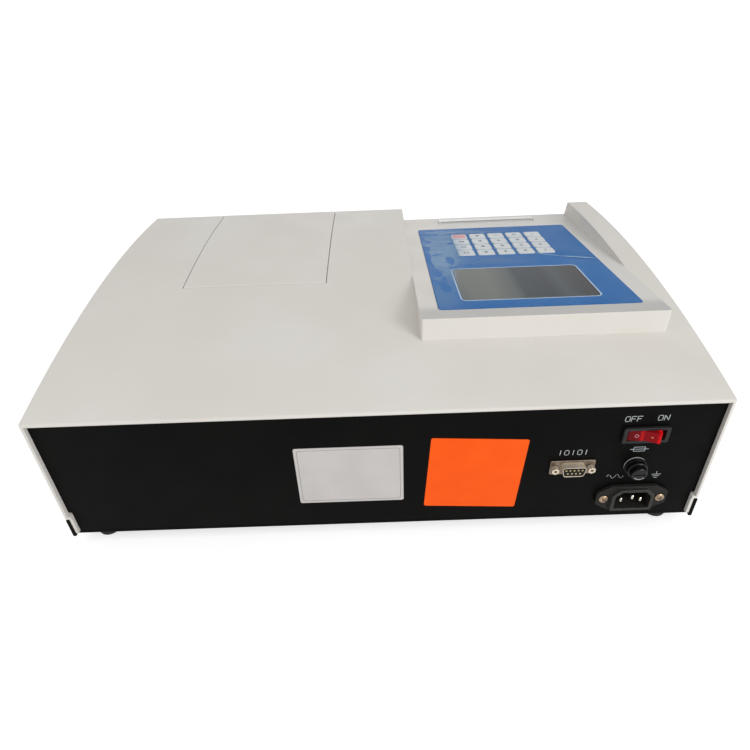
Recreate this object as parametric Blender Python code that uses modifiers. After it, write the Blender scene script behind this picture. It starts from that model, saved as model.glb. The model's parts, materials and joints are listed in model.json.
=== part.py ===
# Desktop x-ray fluorescence analyser, in metres with +Z up.
# The user stands on the -Y side and the connectors are on the +Y side.
# The origin is on the bench, below the middle of the whole object.

import math

import bmesh
import bpy
from mathutils import Matrix, Vector

# Whole object
OVERALL_WIDTH = 0.460
OVERALL_DEPTH = 0.375
SEAT_GAP = 0.0003
OVERRUN = 0.012
ROUND_STEPS = 24
SMALL_STEPS = 12
CORNER_STEPS = 3
FLAT_ANGLE = math.radians(0.05)

# Feet
FOOT_HEIGHT = 0.010
FOOT_RADIUS = 0.0092
FOOT_RIM_HEIGHT = 0.0015
FOOT_TAPER = 0.0012
FOOT_EDGE = 0.0008
FOOT_BORE_RADIUS = 0.0032
FOOT_BORE_DEPTH = 0.004
FOOT_SIDE_SETBACK = 0.0200
FOOT_REAR_SETBACK = 0.0160
FOOT_FRONT_SETBACK = 0.0225

# Base tray, whose walls show as a black band below the cover
TRAY_WALL = 0.0025
TRAY_FLOOR = 0.0025
BAND_HEIGHT = 0.0175
PILLAR_RADIUS = 0.004
PILLAR_HEIGHT = 0.008

# Top cover
WALL = 0.0025
EDGE_RADIUS = 0.0012
REAR_RIM_HEIGHT = 0.1092
CREST_HEIGHT = 0.1264
CREST_SETBACK = 0.199
FRONT_EDGE_SETBACK = 0.0387
ARCH_STEPS = 24
TONGUE_WALL = 0.0022
TONGUE_STEP = 0.0005
LEDGE_RISE = 0.0035
LEDGE_LAP = 0.0015

# Console, sunk into the cover at the front and proud of it at the back
RAIL_WIDTH = 0.020
CONSOLE_WIDTH = 0.177
CONSOLE_SETBACK = 0.067
CONSOLE_BACK_HEIGHT = 0.1369
CONSOLE_SLOPE = math.radians(6.97)
CONSOLE_WALL = 0.0035
CONSOLE_DRAFT = 0.0005
CONSOLE_CORNER = 0.005
CONSOLE_SKIRT = 0.040

# Chamber well and its lid
WELL_SIDE_SETBACK = 0.0725
WELL_WIDTH = 0.1195
WELL_REAR_SETBACK = 0.1504
WELL_WALL = 0.0025
LID_GAP = 0.0005
LID_WALL = 0.003
LID_NOSE = 0.0024
LID_EDGE = 0.0006
STUB_RADIUS = 0.0012
STUB_REACH = 0.0022

# Sample deck, a folded bridge over the base tray
DECK_HEIGHT = 0.082
DECK_SHEET = 0.002
DECK_OVERHANG = 0.005
DECK_FOOT = 0.012
DECK_FRONT_INSET = 0.006
DECK_REAR_REACH = 0.010
APERTURE_RADIUS = 0.013
CUP_RADIUS = 0.021
CUP_HEIGHT = 0.026
CUP_WALL = 0.0015
CUP_FILM = 0.0006
CUP_LIP = 0.0012
CUP_LIP_HEIGHT = 0.003
LOCATOR_WALL = 0.005
LOCATOR_HEIGHT = 0.005
LOCATOR_CHAMFER = 0.0015

# Measuring head with its tube and detector, each at the same angle below the sample
HEAD_ANGLE = math.radians(45)
HEAD_TOP = 0.030
HEAD_SIDE = 0.038
HEAD_SHOULDER = 0.010
HEAD_DEPTH = 0.044
HEAD_BORE = 0.0118
HEAD_PASSAGE_RADIUS = 0.011
HEAD_PASSAGE_DEPTH = 0.020
BORE_START = 0.015
TUBE_RADIUS = 0.0155
TUBE_CLEARANCE = 0.0021
TUBE_NOSE = 0.006
DETECTOR_RADIUS = 0.013
DETECTOR_SHARE = 0.777
DETECTOR_TAIL = 0.004

# High voltage supply, transformer and main board on the floor of the tray
SUPPLY_WIDTH = 0.085
SUPPLY_DEPTH = 0.090
SUPPLY_HEIGHT = 0.056
SUPPLY_LID = 0.004
SUPPLY_LIP = 0.003
SUPPLY_SIDE_SETBACK = 0.082
SUPPLY_REAR_SETBACK = 0.032
TRANSFORMER_RADIUS = 0.038
TRANSFORMER_BORE = 0.013
TRANSFORMER_HEIGHT = 0.034
TRANSFORMER_ROUND = 0.008
TRANSFORMER_SIDE_SETBACK = 0.112
TRANSFORMER_REAR_SETBACK = 0.080
BOARD_SHEET = 0.0016
BOARD_WIDTH = 0.140
BOARD_DEPTH = 0.105
BOARD_SIDE_SETBACK = 0.100
BOARD_REAR_SETBACK = 0.190
BOARD_EDGE = 0.006
SINK_FINS = 5
SINK_PITCH = 0.006
SINK_FIN = 0.002
SINK_HEIGHT = 0.020
SINK_BASE = 0.004
SINK_LENGTH = 0.050
CHIP_WIDTH = 0.024
CHIP_DEPTH = 0.018
CHIP_HEIGHT = 0.004

# Rear panel, one bent sheet
PANEL_RECESS = 0.003
PANEL_SHEET = 0.0015
PANEL_FLANGE = 0.014

# Keypad overlay, keys and display, on the console
OVERLAY_WIDTH = 0.1475
OVERLAY_REAR_MARGIN = 0.0151
OVERLAY_FRONT_MARGIN = 0.03805
OVERLAY_SHEET = 0.001
OVERLAY_CORNER = 0.003
RECESS_DEPTH = 0.001
WINDOW_WIDTH = 0.1032
WINDOW_SHARE = 0.407
WINDOW_REAR_MARGIN = 0.0159
WINDOW_OFFSET = 0.0027
WINDOW_CORNER = 0.004
KEY_COLUMNS = 5
KEY_ROWS = 4
KEY_PITCH_ACROSS = 0.0179
KEY_GAP_ACROSS = 0.0029
KEY_GAP_ALONG = 0.0022
KEY_FIELD_SHARE = 0.3883
KEY_FRONT_MARGIN = 0.0232
KEY_CORNER_SHARE = 0.12
KEY_CORNER_STEPS = 2
KEY_PROUD = 0.0006
KEY_BEVEL = 0.0004
KEY_FLANGE = 0.0007
KEY_FLANGE_SHEET = 0.0006
KEY_POST = 0.005
KEY_TRAVEL = 0.0005
KEY_BOARD_EDGE = 0.003
MODULE_RIM = 0.0016
MODULE_LEDGE = 0.006
MODULE_DEPTH = 0.008

# Printer under the front of the console
SLOT_FRONT_MARGIN = 0.01675
SLOT_WIDTH = 0.101
TEAR_WIDTH = 0.099
TEAR_LENGTH = 0.0075
TEAR_SHEET = 0.0012
TEAR_PITCH = 0.003
TEAR_TOOTH = 0.0012
TEAR_BLADE = 0.0016
TEAR_BLADE_DEPTH = 0.003
PAPER_GAP = 0.0036
PRINTER_WIDTH = 0.108
PRINTER_LENGTH = 0.050
PRINTER_DEPTH = 0.053
PRINTER_WALL = 0.003
PRINTER_FRONT_MARGIN = 0.05175
ROLL_RADIUS = 0.018
ROLL_WIDTH = 0.080
ROLL_SETTING = 0.025
ROLL_DEPTH = 0.034
CORE_RADIUS = 0.006
SPINDLE_END_RADIUS = 0.003
PLATEN_RADIUS = 0.005
PLATEN_WIDTH = 0.090
PLATEN_SETTING = 0.034
PLATEN_DEPTH = 0.010
PLATEN_END_RADIUS = 0.002

# Rocker switch, with its long side level
SWITCH_SIDE_MARGIN = 0.03595
SWITCH_HEIGHT = 0.0806
BEZEL_WIDTH = 0.0305
BEZEL_HEIGHT = 0.013
BEZEL_PROUD = 0.0026
BEZEL_CORNER = 0.0012
SWITCH_BODY_WIDTH = 0.0270
SWITCH_BODY_HEIGHT = 0.0116
SWITCH_BODY_DEPTH = 0.017
ROCKER_HEIGHT = 0.0086
ROCKER_HALF = 0.0112
ROCKER_RISE = 0.004
ROCKER_VEE = math.radians(7)
ROCKER_BACK = 0.0022
ROCKER_THROW = 24
ROCKER_PIVOT_DEPTH = 0.001
ROCKER_CLEARANCE = 0.0004
ROCKER_STUB_RADIUS = 0.0012
ROCKER_STUB_REACH = 0.0009

# Fuse holder
FUSE_SIDE_MARGIN = 0.04405
FUSE_HEIGHT = 0.0518
WASHER_RADIUS = 0.00815
WASHER_SHEET = 0.0008
HOLDER_FLANGE_RADIUS = 0.0076
HOLDER_FLANGE = 0.0018
HOLDER_RADIUS = 0.0070
HOLDER_PROUD = 0.0068
HOLDER_CHAMFER = 0.0006
HOLDER_NECK_RADIUS = 0.0060
HOLDER_FLOOR = 0.0025
CAP_PAST_SHELL = 0.0075
CAP_RADIUS = 0.0054
CAP_CHAMFER = 0.0006
CAP_INNER_REACH = 0.0045
CAP_SLOT = 0.0012
CAP_SLOT_DEPTH = 0.0009
CAP_SLOT_LENGTH = 0.0072
FUSE_RADIUS = 0.0026
FUSE_LENGTH = 0.020
FUSE_SETTING = 0.001
FUSE_CAP_LENGTH = 0.0055
FUSE_GLASS_STEP = 0.0002

# Nine way serial connector
SERIAL_SIDE_MARGIN = 0.0802
SERIAL_HEIGHT = 0.0523
SERIAL_FLANGE_WIDTH = 0.0308
SERIAL_FLANGE_HEIGHT = 0.0125
SERIAL_SHEET = 0.0008
SERIAL_CORNER = 0.001
SHELL_HALF_WIDTH = 0.0085
SHELL_HALF_HEIGHT = 0.0043
SHELL_SLANT = math.radians(10)
SHELL_CORNER = 0.0022
SHELL_WALL = 0.0005
SHELL_PROUD = 0.0062
INSERT_SETBACK = 0.0004
INSERT_BACK = 0.008
CONTACT_PITCH = 0.00277
CONTACT_ROWS = 0.00284
CONTACT_RADIUS = 0.0005
CONTACT_DEPTH = 0.004
JACK_SPACING = 0.025
JACK_ACROSS_CORNERS = 0.0055
JACK_PROUD = 0.0052
JACK_NECK_RADIUS = 0.0013
JACK_NECK_REACH = 0.0045
JACK_HOLE_RADIUS = 0.0012
JACK_HOLE_DEPTH = 0.0035

# Mains inlet
INLET_SIDE_MARGIN = 0.024
INLET_HEIGHT = 0.0215
INLET_FLANGE_HALF_WIDTH = 0.025
INLET_EAR_HALF_HEIGHT = 0.0055
INLET_FLANGE_HALF_HEIGHT = 0.0114
INLET_SHOULDER = 0.0155
INLET_FLANGE_SHEET = 0.0027
INLET_CORNER = 0.0012
INLET_HALF_WIDTH = 0.01475
INLET_HALF_HEIGHT = 0.01025
INLET_CHAMFER = 0.0052
INLET_PROUD = 0.0057
INLET_BODY_INSET = 0.0008
INLET_BODY_DEPTH = 0.0165
INLET_WALL = 0.0022
INLET_CAVITY_DEPTH = 0.0125
BLADE_WIDTH = 0.002
BLADE_HEIGHT = 0.004
BLADE_SPACING = 0.014
BLADE_OFFSET = 0.002
BLADE_FRONT = 0.0035
EARTH_EXTRA = 0.0015
BLADE_TAIL = 0.008
BLADE_TIP = 0.0007

# Places worked out from the sizes above
HALF_WIDTH = OVERALL_WIDTH / 2
FRONT_Y = -OVERALL_DEPTH / 2
SHELL_REAR_Y = OVERALL_DEPTH / 2 - CAP_PAST_SHELL
PANEL_Y = SHELL_REAR_Y - PANEL_RECESS
BASE_Z = FOOT_HEIGHT
FLOOR_Z = BASE_Z + TRAY_FLOOR
SEAT_Z = FLOOR_Z + SEAT_GAP
BAND_TOP = BASE_Z + BAND_HEIGHT
COVER_BOTTOM = BAND_TOP + SEAT_GAP
LEDGE_Z = BAND_TOP + LEDGE_RISE
TONGUE_HALF = HALF_WIDTH - TRAY_WALL - SEAT_GAP
TONGUE_FRONT = FRONT_Y + TRAY_WALL + SEAT_GAP
CREST_Y = SHELL_REAR_Y - CREST_SETBACK
CREST_Z = BASE_Z + CREST_HEIGHT
ARCH_SAG = CREST_HEIGHT - REAR_RIM_HEIGHT
ARCH_RADIUS = (CREST_SETBACK ** 2 + ARCH_SAG ** 2) / (2 * ARCH_SAG)
FRONT_EDGE_Y = FRONT_Y + FRONT_EDGE_SETBACK
CONSOLE_X = RAIL_WIDTH + CONSOLE_WIDTH / 2 - HALF_WIDTH
CONSOLE_BACK_Y = SHELL_REAR_Y - CONSOLE_SETBACK
CONSOLE_BACK_Z = BASE_Z + CONSOLE_BACK_HEIGHT
DECK_Z = BASE_Z + DECK_HEIGHT
WELL_X = HALF_WIDTH - WELL_SIDE_SETBACK - WELL_WIDTH / 2
WELL_REAR_Y = SHELL_REAR_Y - WELL_REAR_SETBACK
WELL_LIP_Z = DECK_Z - DECK_SHEET - LID_GAP
CONSOLE_LENGTH = (CONSOLE_BACK_Y - FRONT_EDGE_Y) / math.cos(CONSOLE_SLOPE)
OVERLAY_LENGTH = CONSOLE_LENGTH - OVERLAY_REAR_MARGIN - OVERLAY_FRONT_MARGIN
OVERLAY_Y = -OVERLAY_REAR_MARGIN - OVERLAY_LENGTH / 2
FIELD_LENGTH = OVERLAY_LENGTH - WINDOW_REAR_MARGIN - KEY_FRONT_MARGIN
WINDOW_LENGTH = FIELD_LENGTH * WINDOW_SHARE
WINDOW_Y = -OVERLAY_REAR_MARGIN - WINDOW_REAR_MARGIN - WINDOW_LENGTH / 2
KEYS_LENGTH = FIELD_LENGTH * KEY_FIELD_SHARE
KEY_PITCH_ALONG = (KEYS_LENGTH + KEY_GAP_ALONG) / KEY_ROWS
KEY_WIDTH = KEY_PITCH_ACROSS - KEY_GAP_ACROSS
KEY_LENGTH = KEY_PITCH_ALONG - KEY_GAP_ALONG
KEY_GRID_Y = OVERLAY_FRONT_MARGIN - CONSOLE_LENGTH + KEY_FRONT_MARGIN + KEYS_LENGTH / 2
KEY_BOARD_TOP = -CONSOLE_WALL - SEAT_GAP
SLOT_Y = SLOT_FRONT_MARGIN - CONSOLE_LENGTH
PRINTER_Y = PRINTER_FRONT_MARGIN - CONSOLE_LENGTH
SWITCH_ACROSS = HALF_WIDTH - SWITCH_SIDE_MARGIN - BEZEL_WIDTH / 2
FUSE_ACROSS = HALF_WIDTH - FUSE_SIDE_MARGIN - WASHER_RADIUS
SERIAL_ACROSS = HALF_WIDTH - SERIAL_SIDE_MARGIN - SERIAL_FLANGE_WIDTH / 2
INLET_ACROSS = HALF_WIDTH - INLET_SIDE_MARGIN - INLET_FLANGE_HALF_WIDTH

# Directions of the flat outlines: side view, rear view, front view, and the console's slope
SIDE = Matrix(((0, 0, 1, 0), (1, 0, 0, 0), (0, 1, 0, 0), (0, 0, 0, 1)))
REAR = Matrix(((-1, 0, 0, 0), (0, 0, 1, 0), (0, 1, 0, 0), (0, 0, 0, 1)))
FRONT = Matrix(((1, 0, 0, 0), (0, 0, -1, 0), (0, 1, 0, 0), (0, 0, 0, 1)))
LEVEL = Matrix.Identity(4)
CONSOLE = (Matrix.Translation((CONSOLE_X, CONSOLE_BACK_Y, CONSOLE_BACK_Z))
           @ Matrix.Rotation(CONSOLE_SLOPE, 4, "X"))


for old in list(bpy.data.objects):
    bpy.data.objects.remove(old, do_unlink=True)

analyser = bpy.data.collections.new("xrf_analyser")
cutters = bpy.data.collections.new("cutters")
for collection in (analyser, cutters):
    bpy.context.scene.collection.children.link(collection)


# Tools that make and join the shapes

def at(x, y, z):
    return Matrix.Translation((x, y, z))


def finish(name, colour, roughness, metallic=0.0):
    """A Principled material with the piece's own colour."""
    material = bpy.data.materials.new(name)
    material.use_nodes = True
    shader = material.node_tree.nodes["Principled BSDF"]
    shader.inputs["Base Color"].default_value = (*colour, 1)
    shader.inputs["Roughness"].default_value = roughness
    shader.inputs["Metallic"].default_value = metallic
    return material


def add(name, mesh, frame):
    """Put a mesh in the analyser's collection, with its origin at the frame's."""
    piece = bpy.data.objects.new(name, mesh)
    piece.matrix_world = frame
    analyser.objects.link(piece)
    return piece


def rounded(corners, radius, steps=CORNER_STEPS):
    """The outline through the corners, each one turned into an arc."""
    points = []
    for index, corner in enumerate(corners):
        here = Vector(corner)
        back = (Vector(corners[index - 1]) - here).normalized()
        ahead = (Vector(corners[(index + 1) % len(corners)]) - here).normalized()
        half = back.angle(ahead) / 2
        reach = radius / math.tan(half)
        centre = here + (back + ahead).normalized() * (radius / math.sin(half))
        start = here + back * reach - centre
        turn = math.copysign(math.pi - 2 * half, start.y * back.x - start.x * back.y)
        for step in range(steps + 1):
            arm = start.copy()
            arm.rotate(Matrix.Rotation(turn * step / steps, 2))
            points.append(tuple(centre + arm))
    return points


def rectangle(width, height, middle=(0, 0)):
    x, y = middle
    return [(x - width / 2, y - height / 2), (x + width / 2, y - height / 2),
            (x + width / 2, y + height / 2), (x - width / 2, y + height / 2)]


def extruded(name, outlines, low, high, frame):
    """A flat outline, with any holes after it, given thickness along the frame's z."""
    curve = bpy.data.curves.new(name, "CURVE")
    curve.dimensions = "2D"
    curve.fill_mode = "BOTH"
    curve.extrude = (high - low) / 2
    for outline in outlines:
        spline = curve.splines.new("POLY")
        spline.points.add(len(outline) - 1)
        for point, (x, y) in zip(spline.points, outline):
            point.co = (x, y, 0, 1)
        spline.use_cyclic_u = True
    drawn = bpy.data.objects.new(name, curve)
    bpy.context.scene.collection.objects.link(drawn)
    drawn_now = drawn.evaluated_get(bpy.context.evaluated_depsgraph_get())
    mesh = bpy.data.meshes.new_from_object(drawn_now)
    bpy.data.objects.remove(drawn)
    bpy.data.curves.remove(curve)
    shape = bmesh.new()
    shape.from_mesh(mesh)
    bmesh.ops.remove_doubles(shape, verts=shape.verts, dist=SEAT_GAP / 100)
    bmesh.ops.dissolve_limit(shape, angle_limit=FLAT_ANGLE, verts=shape.verts, edges=shape.edges)
    bmesh.ops.recalc_face_normals(shape, faces=shape.faces)
    bmesh.ops.translate(shape, verts=shape.verts, vec=(0, 0, (low + high) / 2))
    shape.to_mesh(mesh)
    shape.free()
    mesh.name = name
    return add(name, mesh, frame)


def block(name, low, high, frame=LEVEL):
    """A box between two opposite corners, given in the frame."""
    shape = bmesh.new()
    bmesh.ops.create_cube(shape, size=1)
    size = Vector(high) - Vector(low)
    bmesh.ops.scale(shape, verts=shape.verts, vec=size)
    bmesh.ops.translate(shape, verts=shape.verts, vec=(Vector(low) + Vector(high)) / 2)
    mesh = bpy.data.meshes.new(name)
    shape.to_mesh(mesh)
    shape.free()
    return add(name, mesh, frame)


def rod(name, radius, low, high, frame, steps=SMALL_STEPS):
    """A round bar along the frame's z."""
    shape = bmesh.new()
    bmesh.ops.create_cone(shape, cap_ends=True, segments=steps, depth=high - low,
                          radius1=radius, radius2=radius)
    bmesh.ops.translate(shape, verts=shape.verts, vec=(0, 0, (low + high) / 2))
    mesh = bpy.data.meshes.new(name)
    shape.to_mesh(mesh)
    shape.free()
    return add(name, mesh, frame)


def turned(name, profile, frame, steps=ROUND_STEPS, ring=False):
    """A profile of (radius, height) points, down its outer side, turned about the frame's z."""
    shape = bmesh.new()
    points = [shape.verts.new((radius, 0, height)) for radius, height in profile]
    ends = points[1:] + points[:1] if ring else points[1:]
    for start, end in zip(points, ends):
        shape.edges.new((start, end))
    mesh = bpy.data.meshes.new(name)
    shape.to_mesh(mesh)
    shape.free()
    piece = add(name, mesh, frame)
    screw = piece.modifiers.new("turn", "SCREW")
    screw.steps = steps
    screw.render_steps = steps
    screw.use_merge_vertices = True
    screw.merge_threshold = SEAT_GAP / 100
    return piece


def stepped(name, levels, frame, corner_share):
    """A rounded block that grows and shrinks from level to level: (height, width, length) from below."""
    shape = bmesh.new()
    rings = []
    for height, width, length in levels:
        outline = rounded(rectangle(width, length), min(width, length) * corner_share, KEY_CORNER_STEPS)
        rings.append([shape.verts.new((x, y, height)) for x, y in outline])
    for lower, upper in zip(rings, rings[1:]):
        for index in range(len(lower)):
            shape.faces.new((lower[index - 1], lower[index], upper[index], upper[index - 1]))
    shape.faces.new(rings[0])
    shape.faces.new(rings[-1])
    bmesh.ops.recalc_face_normals(shape, faces=shape.faces)
    mesh = bpy.data.meshes.new(name)
    shape.to_mesh(mesh)
    shape.free()
    return add(name, mesh, frame)


def combine(piece, tool, operation):
    """Join a tool shape to a piece, or cut it away, and put the tool with the cutters."""
    change = piece.modifiers.new(tool.name, "BOOLEAN")
    change.operation = operation
    change.solver = "EXACT"
    change.object = tool
    analyser.objects.unlink(tool)
    cutters.objects.link(tool)
    tool.hide_render = True
    tool.display_type = "WIRE"


def join(piece, *tools):
    for tool in tools:
        combine(piece, tool, "UNION")


def cut(piece, *tools):
    for tool in tools:
        combine(piece, tool, "DIFFERENCE")


def soften(piece, width, segments=2):
    """Round the sharp edges of a piece."""
    bevel = piece.modifiers.new("soft edges", "BEVEL")
    bevel.width = width
    bevel.segments = segments
    bevel.limit_method = "ANGLE"
    bevel.angle_limit = math.radians(40)


# The cover's side profile

def arch_z(y, inset=0.0):
    """Height of the arched top at y, or of a surface inside it."""
    reach = ARCH_RADIUS - inset
    return CREST_Z - ARCH_RADIUS + math.sqrt(reach ** 2 - (y - CREST_Y) ** 2)


def front_y(z, inset=0.0):
    """Place of the slanted front at height z, or of a surface inside it."""
    rise = arch_z(FRONT_EDGE_Y) - COVER_BOTTOM
    slant = math.atan2(FRONT_EDGE_SETBACK, rise)
    return FRONT_Y + (z - COVER_BOTTOM) * math.tan(slant) + inset / math.cos(slant)


def front_corner(inset):
    """Where the arch meets the slanted front, on a surface inside both."""
    y = FRONT_EDGE_Y
    for _ in range(ROUND_STEPS):
        y = front_y(arch_z(y, inset), inset)
    return y, arch_z(y, inset)


def arch_line(start_y, end_y, inset):
    places = [start_y + (end_y - start_y) * step / ARCH_STEPS for step in range(ARCH_STEPS + 1)]
    return [(y, arch_z(y, inset)) for y in places]


def cover_profile(inset, rear_y, bottom):
    """Side outline of the cover, or of its hollow, from the rear over the top to the front."""
    top = arch_line(rear_y, front_corner(inset)[0], inset)
    return [(rear_y, bottom)] + top + [(front_y(bottom, inset), bottom)]


# Feet

def make_feet():
    rubber = finish("black rubber", (0.02, 0.02, 0.02), 0.8)
    top = FOOT_HEIGHT - SEAT_GAP
    profile = [(0, top), (FOOT_RADIUS, top), (FOOT_RADIUS, top - FOOT_RIM_HEIGHT),
               (FOOT_RADIUS - FOOT_TAPER, FOOT_EDGE), (FOOT_RADIUS - FOOT_TAPER - FOOT_EDGE, 0),
               (FOOT_BORE_RADIUS, 0), (FOOT_BORE_RADIUS, FOOT_BORE_DEPTH), (0, FOOT_BORE_DEPTH)]
    side = HALF_WIDTH - FOOT_SIDE_SETBACK
    rear = SHELL_REAR_Y - FOOT_REAR_SETBACK
    front = FRONT_Y + FOOT_FRONT_SETBACK
    for name, x, y in (("foot_rear_left", -side, rear), ("foot_rear_right", side, rear),
                       ("foot_front_left", -side, front), ("foot_front_right", side, front)):
        foot = turned(name, profile, at(x, y, 0), steps=16)
        foot.data.materials.append(rubber)


# Base tray, with the pillars that carry the main board

def board_corners():
    """Places of the main board's four pillars."""
    middle_x = BOARD_SIDE_SETBACK - HALF_WIDTH
    middle_y = SHELL_REAR_Y - BOARD_REAR_SETBACK
    half_x = BOARD_WIDTH / 2 - BOARD_EDGE
    half_y = BOARD_DEPTH / 2 - BOARD_EDGE
    return [(middle_x + sx * half_x, middle_y + sy * half_y) for sx in (-1, 1) for sy in (-1, 1)]


def make_base_tray():
    tray = block("base_tray", (-HALF_WIDTH, FRONT_Y, BASE_Z), (HALF_WIDTH, SHELL_REAR_Y, BAND_TOP))
    hollow = block("tray_hollow", (TRAY_WALL - HALF_WIDTH, FRONT_Y + TRAY_WALL, FLOOR_Z),
                   (HALF_WIDTH - TRAY_WALL, SHELL_REAR_Y + OVERRUN, BAND_TOP + OVERRUN))
    rear_end = block("tray_rear_end", (TRAY_WALL - HALF_WIDTH, PANEL_Y, BASE_Z - OVERRUN),
                     (HALF_WIDTH - TRAY_WALL, SHELL_REAR_Y + OVERRUN, BAND_TOP + OVERRUN))
    cut(tray, hollow, rear_end)
    for index, (x, y) in enumerate(board_corners(), start=1):
        foot = at(x, y, FLOOR_Z)
        join(tray, rod(f"pillar_{index}", PILLAR_RADIUS, -TRAY_FLOOR / 2, PILLAR_HEIGHT, foot))
    tray.data.materials.append(finish("black coated steel", (0.02, 0.02, 0.02), 0.55))


# Top cover

def console_space(name, margin, floor):
    """The space above the console's slope, wider by a margin and lower by the floor."""
    reach = OVERALL_DEPTH
    half = CONSOLE_WIDTH / 2 + margin
    return block(name, (-half, -reach, -floor), (half, CONSOLE_CORNER, CONSOLE_SETBACK), CONSOLE)


def console_box(name, inset):
    """The upright box of the raised console, still too tall, with its upright corners rounded."""
    half = CONSOLE_WIDTH / 2 - CONSOLE_DRAFT - inset
    front = FRONT_EDGE_Y + CONSOLE_WALL * 2
    back = CONSOLE_BACK_Y - inset
    outline = rounded([(CONSOLE_X - half, front), (CONSOLE_X + half, front),
                       (CONSOLE_X + half, back), (CONSOLE_X - half, back)], CONSOLE_CORNER - inset)
    bottom = CONSOLE_BACK_Z - CONSOLE_SKIRT - inset
    return extruded(name, [outline], bottom, CONSOLE_BACK_Z + OVERRUN, LEVEL)


def make_cover():
    outside = cover_profile(0, SHELL_REAR_Y, COVER_BOTTOM)
    cover = extruded("top_cover", [outside], -HALF_WIDTH, HALF_WIDTH, SIDE)
    soften(cover, EDGE_RADIUS)
    tongue = block("cover_tongue", (-TONGUE_HALF, TONGUE_FRONT, SEAT_Z),
                   (TONGUE_HALF, SHELL_REAR_Y - TONGUE_STEP, LEDGE_Z))
    join(cover, tongue, console_box("console_outside", 0))
    cut(cover, console_space("console_clearing", 0, 0))

    inner_half = HALF_WIDTH - WALL
    past_rear = SHELL_REAR_Y + OVERRUN
    inside = cover_profile(WALL, past_rear, LEDGE_Z)
    hollow = extruded("cover_hollow", [inside], -inner_half, inner_half, SIDE)
    low_half = TONGUE_HALF - TONGUE_WALL
    low_hollow = block("tongue_hollow", (-low_half, TONGUE_FRONT + TONGUE_WALL, BASE_Z - OVERRUN),
                       (low_half, past_rear, LEDGE_Z + LEDGE_LAP))
    join(hollow, low_hollow, console_box("console_inside", CONSOLE_WALL))
    cut(hollow, console_space("console_floor", WALL, CONSOLE_WALL))
    cut(cover, hollow)

    well_side = WELL_WIDTH / 2
    top_y, rear_y = WELL_REAR_Y, WELL_REAR_Y + WELL_WALL
    well_bottom = DECK_Z + SEAT_GAP
    well_profile = cover_profile(WALL / 2, rear_y, well_bottom)
    well = extruded("well_walls", [well_profile], WELL_X - well_side - WELL_WALL,
                    WELL_X + well_side + WELL_WALL, SIDE)
    opening = block("well_opening", (WELL_X - well_side, FRONT_Y - OVERRUN, WELL_LIP_Z),
                    (WELL_X + well_side, top_y, CREST_Z + OVERRUN))
    join(cover, well)
    cut(cover, opening)
    pivot_y, pivot_z = lid_pivot()
    reach = well_side + WELL_WALL + SEAT_GAP
    pivot = at(WELL_X, pivot_y, pivot_z) @ SIDE
    cut(cover, rod("stub_holes", STUB_RADIUS + SEAT_GAP, -reach, reach, pivot))

    sunk = rectangle(OVERLAY_WIDTH + 2 * SEAT_GAP, OVERLAY_LENGTH + 2 * SEAT_GAP, (0, OVERLAY_Y))
    recess = extruded("overlay_recess", [rounded(sunk, OVERLAY_CORNER + SEAT_GAP)],
                      -RECESS_DEPTH, OVERRUN, CONSOLE)
    through = -CONSOLE_WALL - OVERRUN
    window = block_around("window_opening", WINDOW_WIDTH + 2 * MODULE_RIM, WINDOW_LENGTH + 2 * MODULE_RIM,
                          (WINDOW_OFFSET, WINDOW_Y), through, OVERRUN)
    keys = block_around("key_opening", key_field(KEY_PITCH_ACROSS, KEY_GAP_ACROSS, KEY_COLUMNS),
                        key_field(KEY_PITCH_ALONG, KEY_GAP_ALONG, KEY_ROWS), (0, KEY_GRID_Y),
                        through, OVERRUN)
    slot_length = PAPER_GAP + TEAR_TOOTH + TEAR_BLADE + 2 * SEAT_GAP
    slot = block_around("paper_slot", SLOT_WIDTH, slot_length, (0, SLOT_Y - slot_length / 2),
                        through, OVERRUN)
    cut(cover, recess, window, keys, slot)
    cover.data.materials.append(finish("warm white ABS", (0.70, 0.67, 0.63), 0.45))


def block_around(name, width, length, middle, low, high):
    """A box on the console, placed by its middle."""
    x, y = middle
    return block(name, (x - width / 2, y - length / 2, low), (x + width / 2, y + length / 2, high), CONSOLE)


def key_field(pitch, gap, count):
    """Size of the opening that clears the flanges of a row of keys."""
    return pitch * count - gap + 2 * (KEY_FLANGE + SEAT_GAP)


# Lid of the sample chamber

def lid_pivot():
    """Axis of the lid, just inside its rounded rear edge."""
    y = WELL_REAR_Y - LID_GAP - LID_NOSE
    return y, arch_z(y) - LID_NOSE


def make_lid():
    pivot_y, pivot_z = lid_pivot()
    bottom = WELL_LIP_Z + LID_GAP
    outer_y, outer_z = front_corner(0)
    inner_y = front_corner(LID_WALL)[0]
    nose = [(pivot_y + LID_NOSE * math.sin(turn), pivot_z + LID_NOSE * math.cos(turn))
            for turn in (math.pi * step / SMALL_STEPS for step in range(1, SMALL_STEPS + 1))]
    outline = arch_line(outer_y, pivot_y, 0) + nose
    outline += arch_line(pivot_y - LID_NOSE, inner_y, LID_WALL)
    outline += [(front_y(bottom, LID_WALL), bottom), (front_y(bottom), bottom)]
    outline = [(y - pivot_y, z - pivot_z) for y, z in outline]
    half = WELL_WIDTH / 2 - LID_GAP
    frame = at(WELL_X, pivot_y, pivot_z) @ SIDE
    lid = extruded("sample_lid", [outline], -half, half, frame)
    soften(lid, LID_EDGE)
    reach = half + STUB_REACH
    for side, low, high in (("left", -reach, -half / 2), ("right", half / 2, reach)):
        join(lid, rod(f"lid_stub_{side}", STUB_RADIUS, low, high, frame))
    lid.data.materials.append(finish("warm white ABS lid", (0.70, 0.67, 0.63), 0.45))


# Sample deck, locator ring and cup

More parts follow.
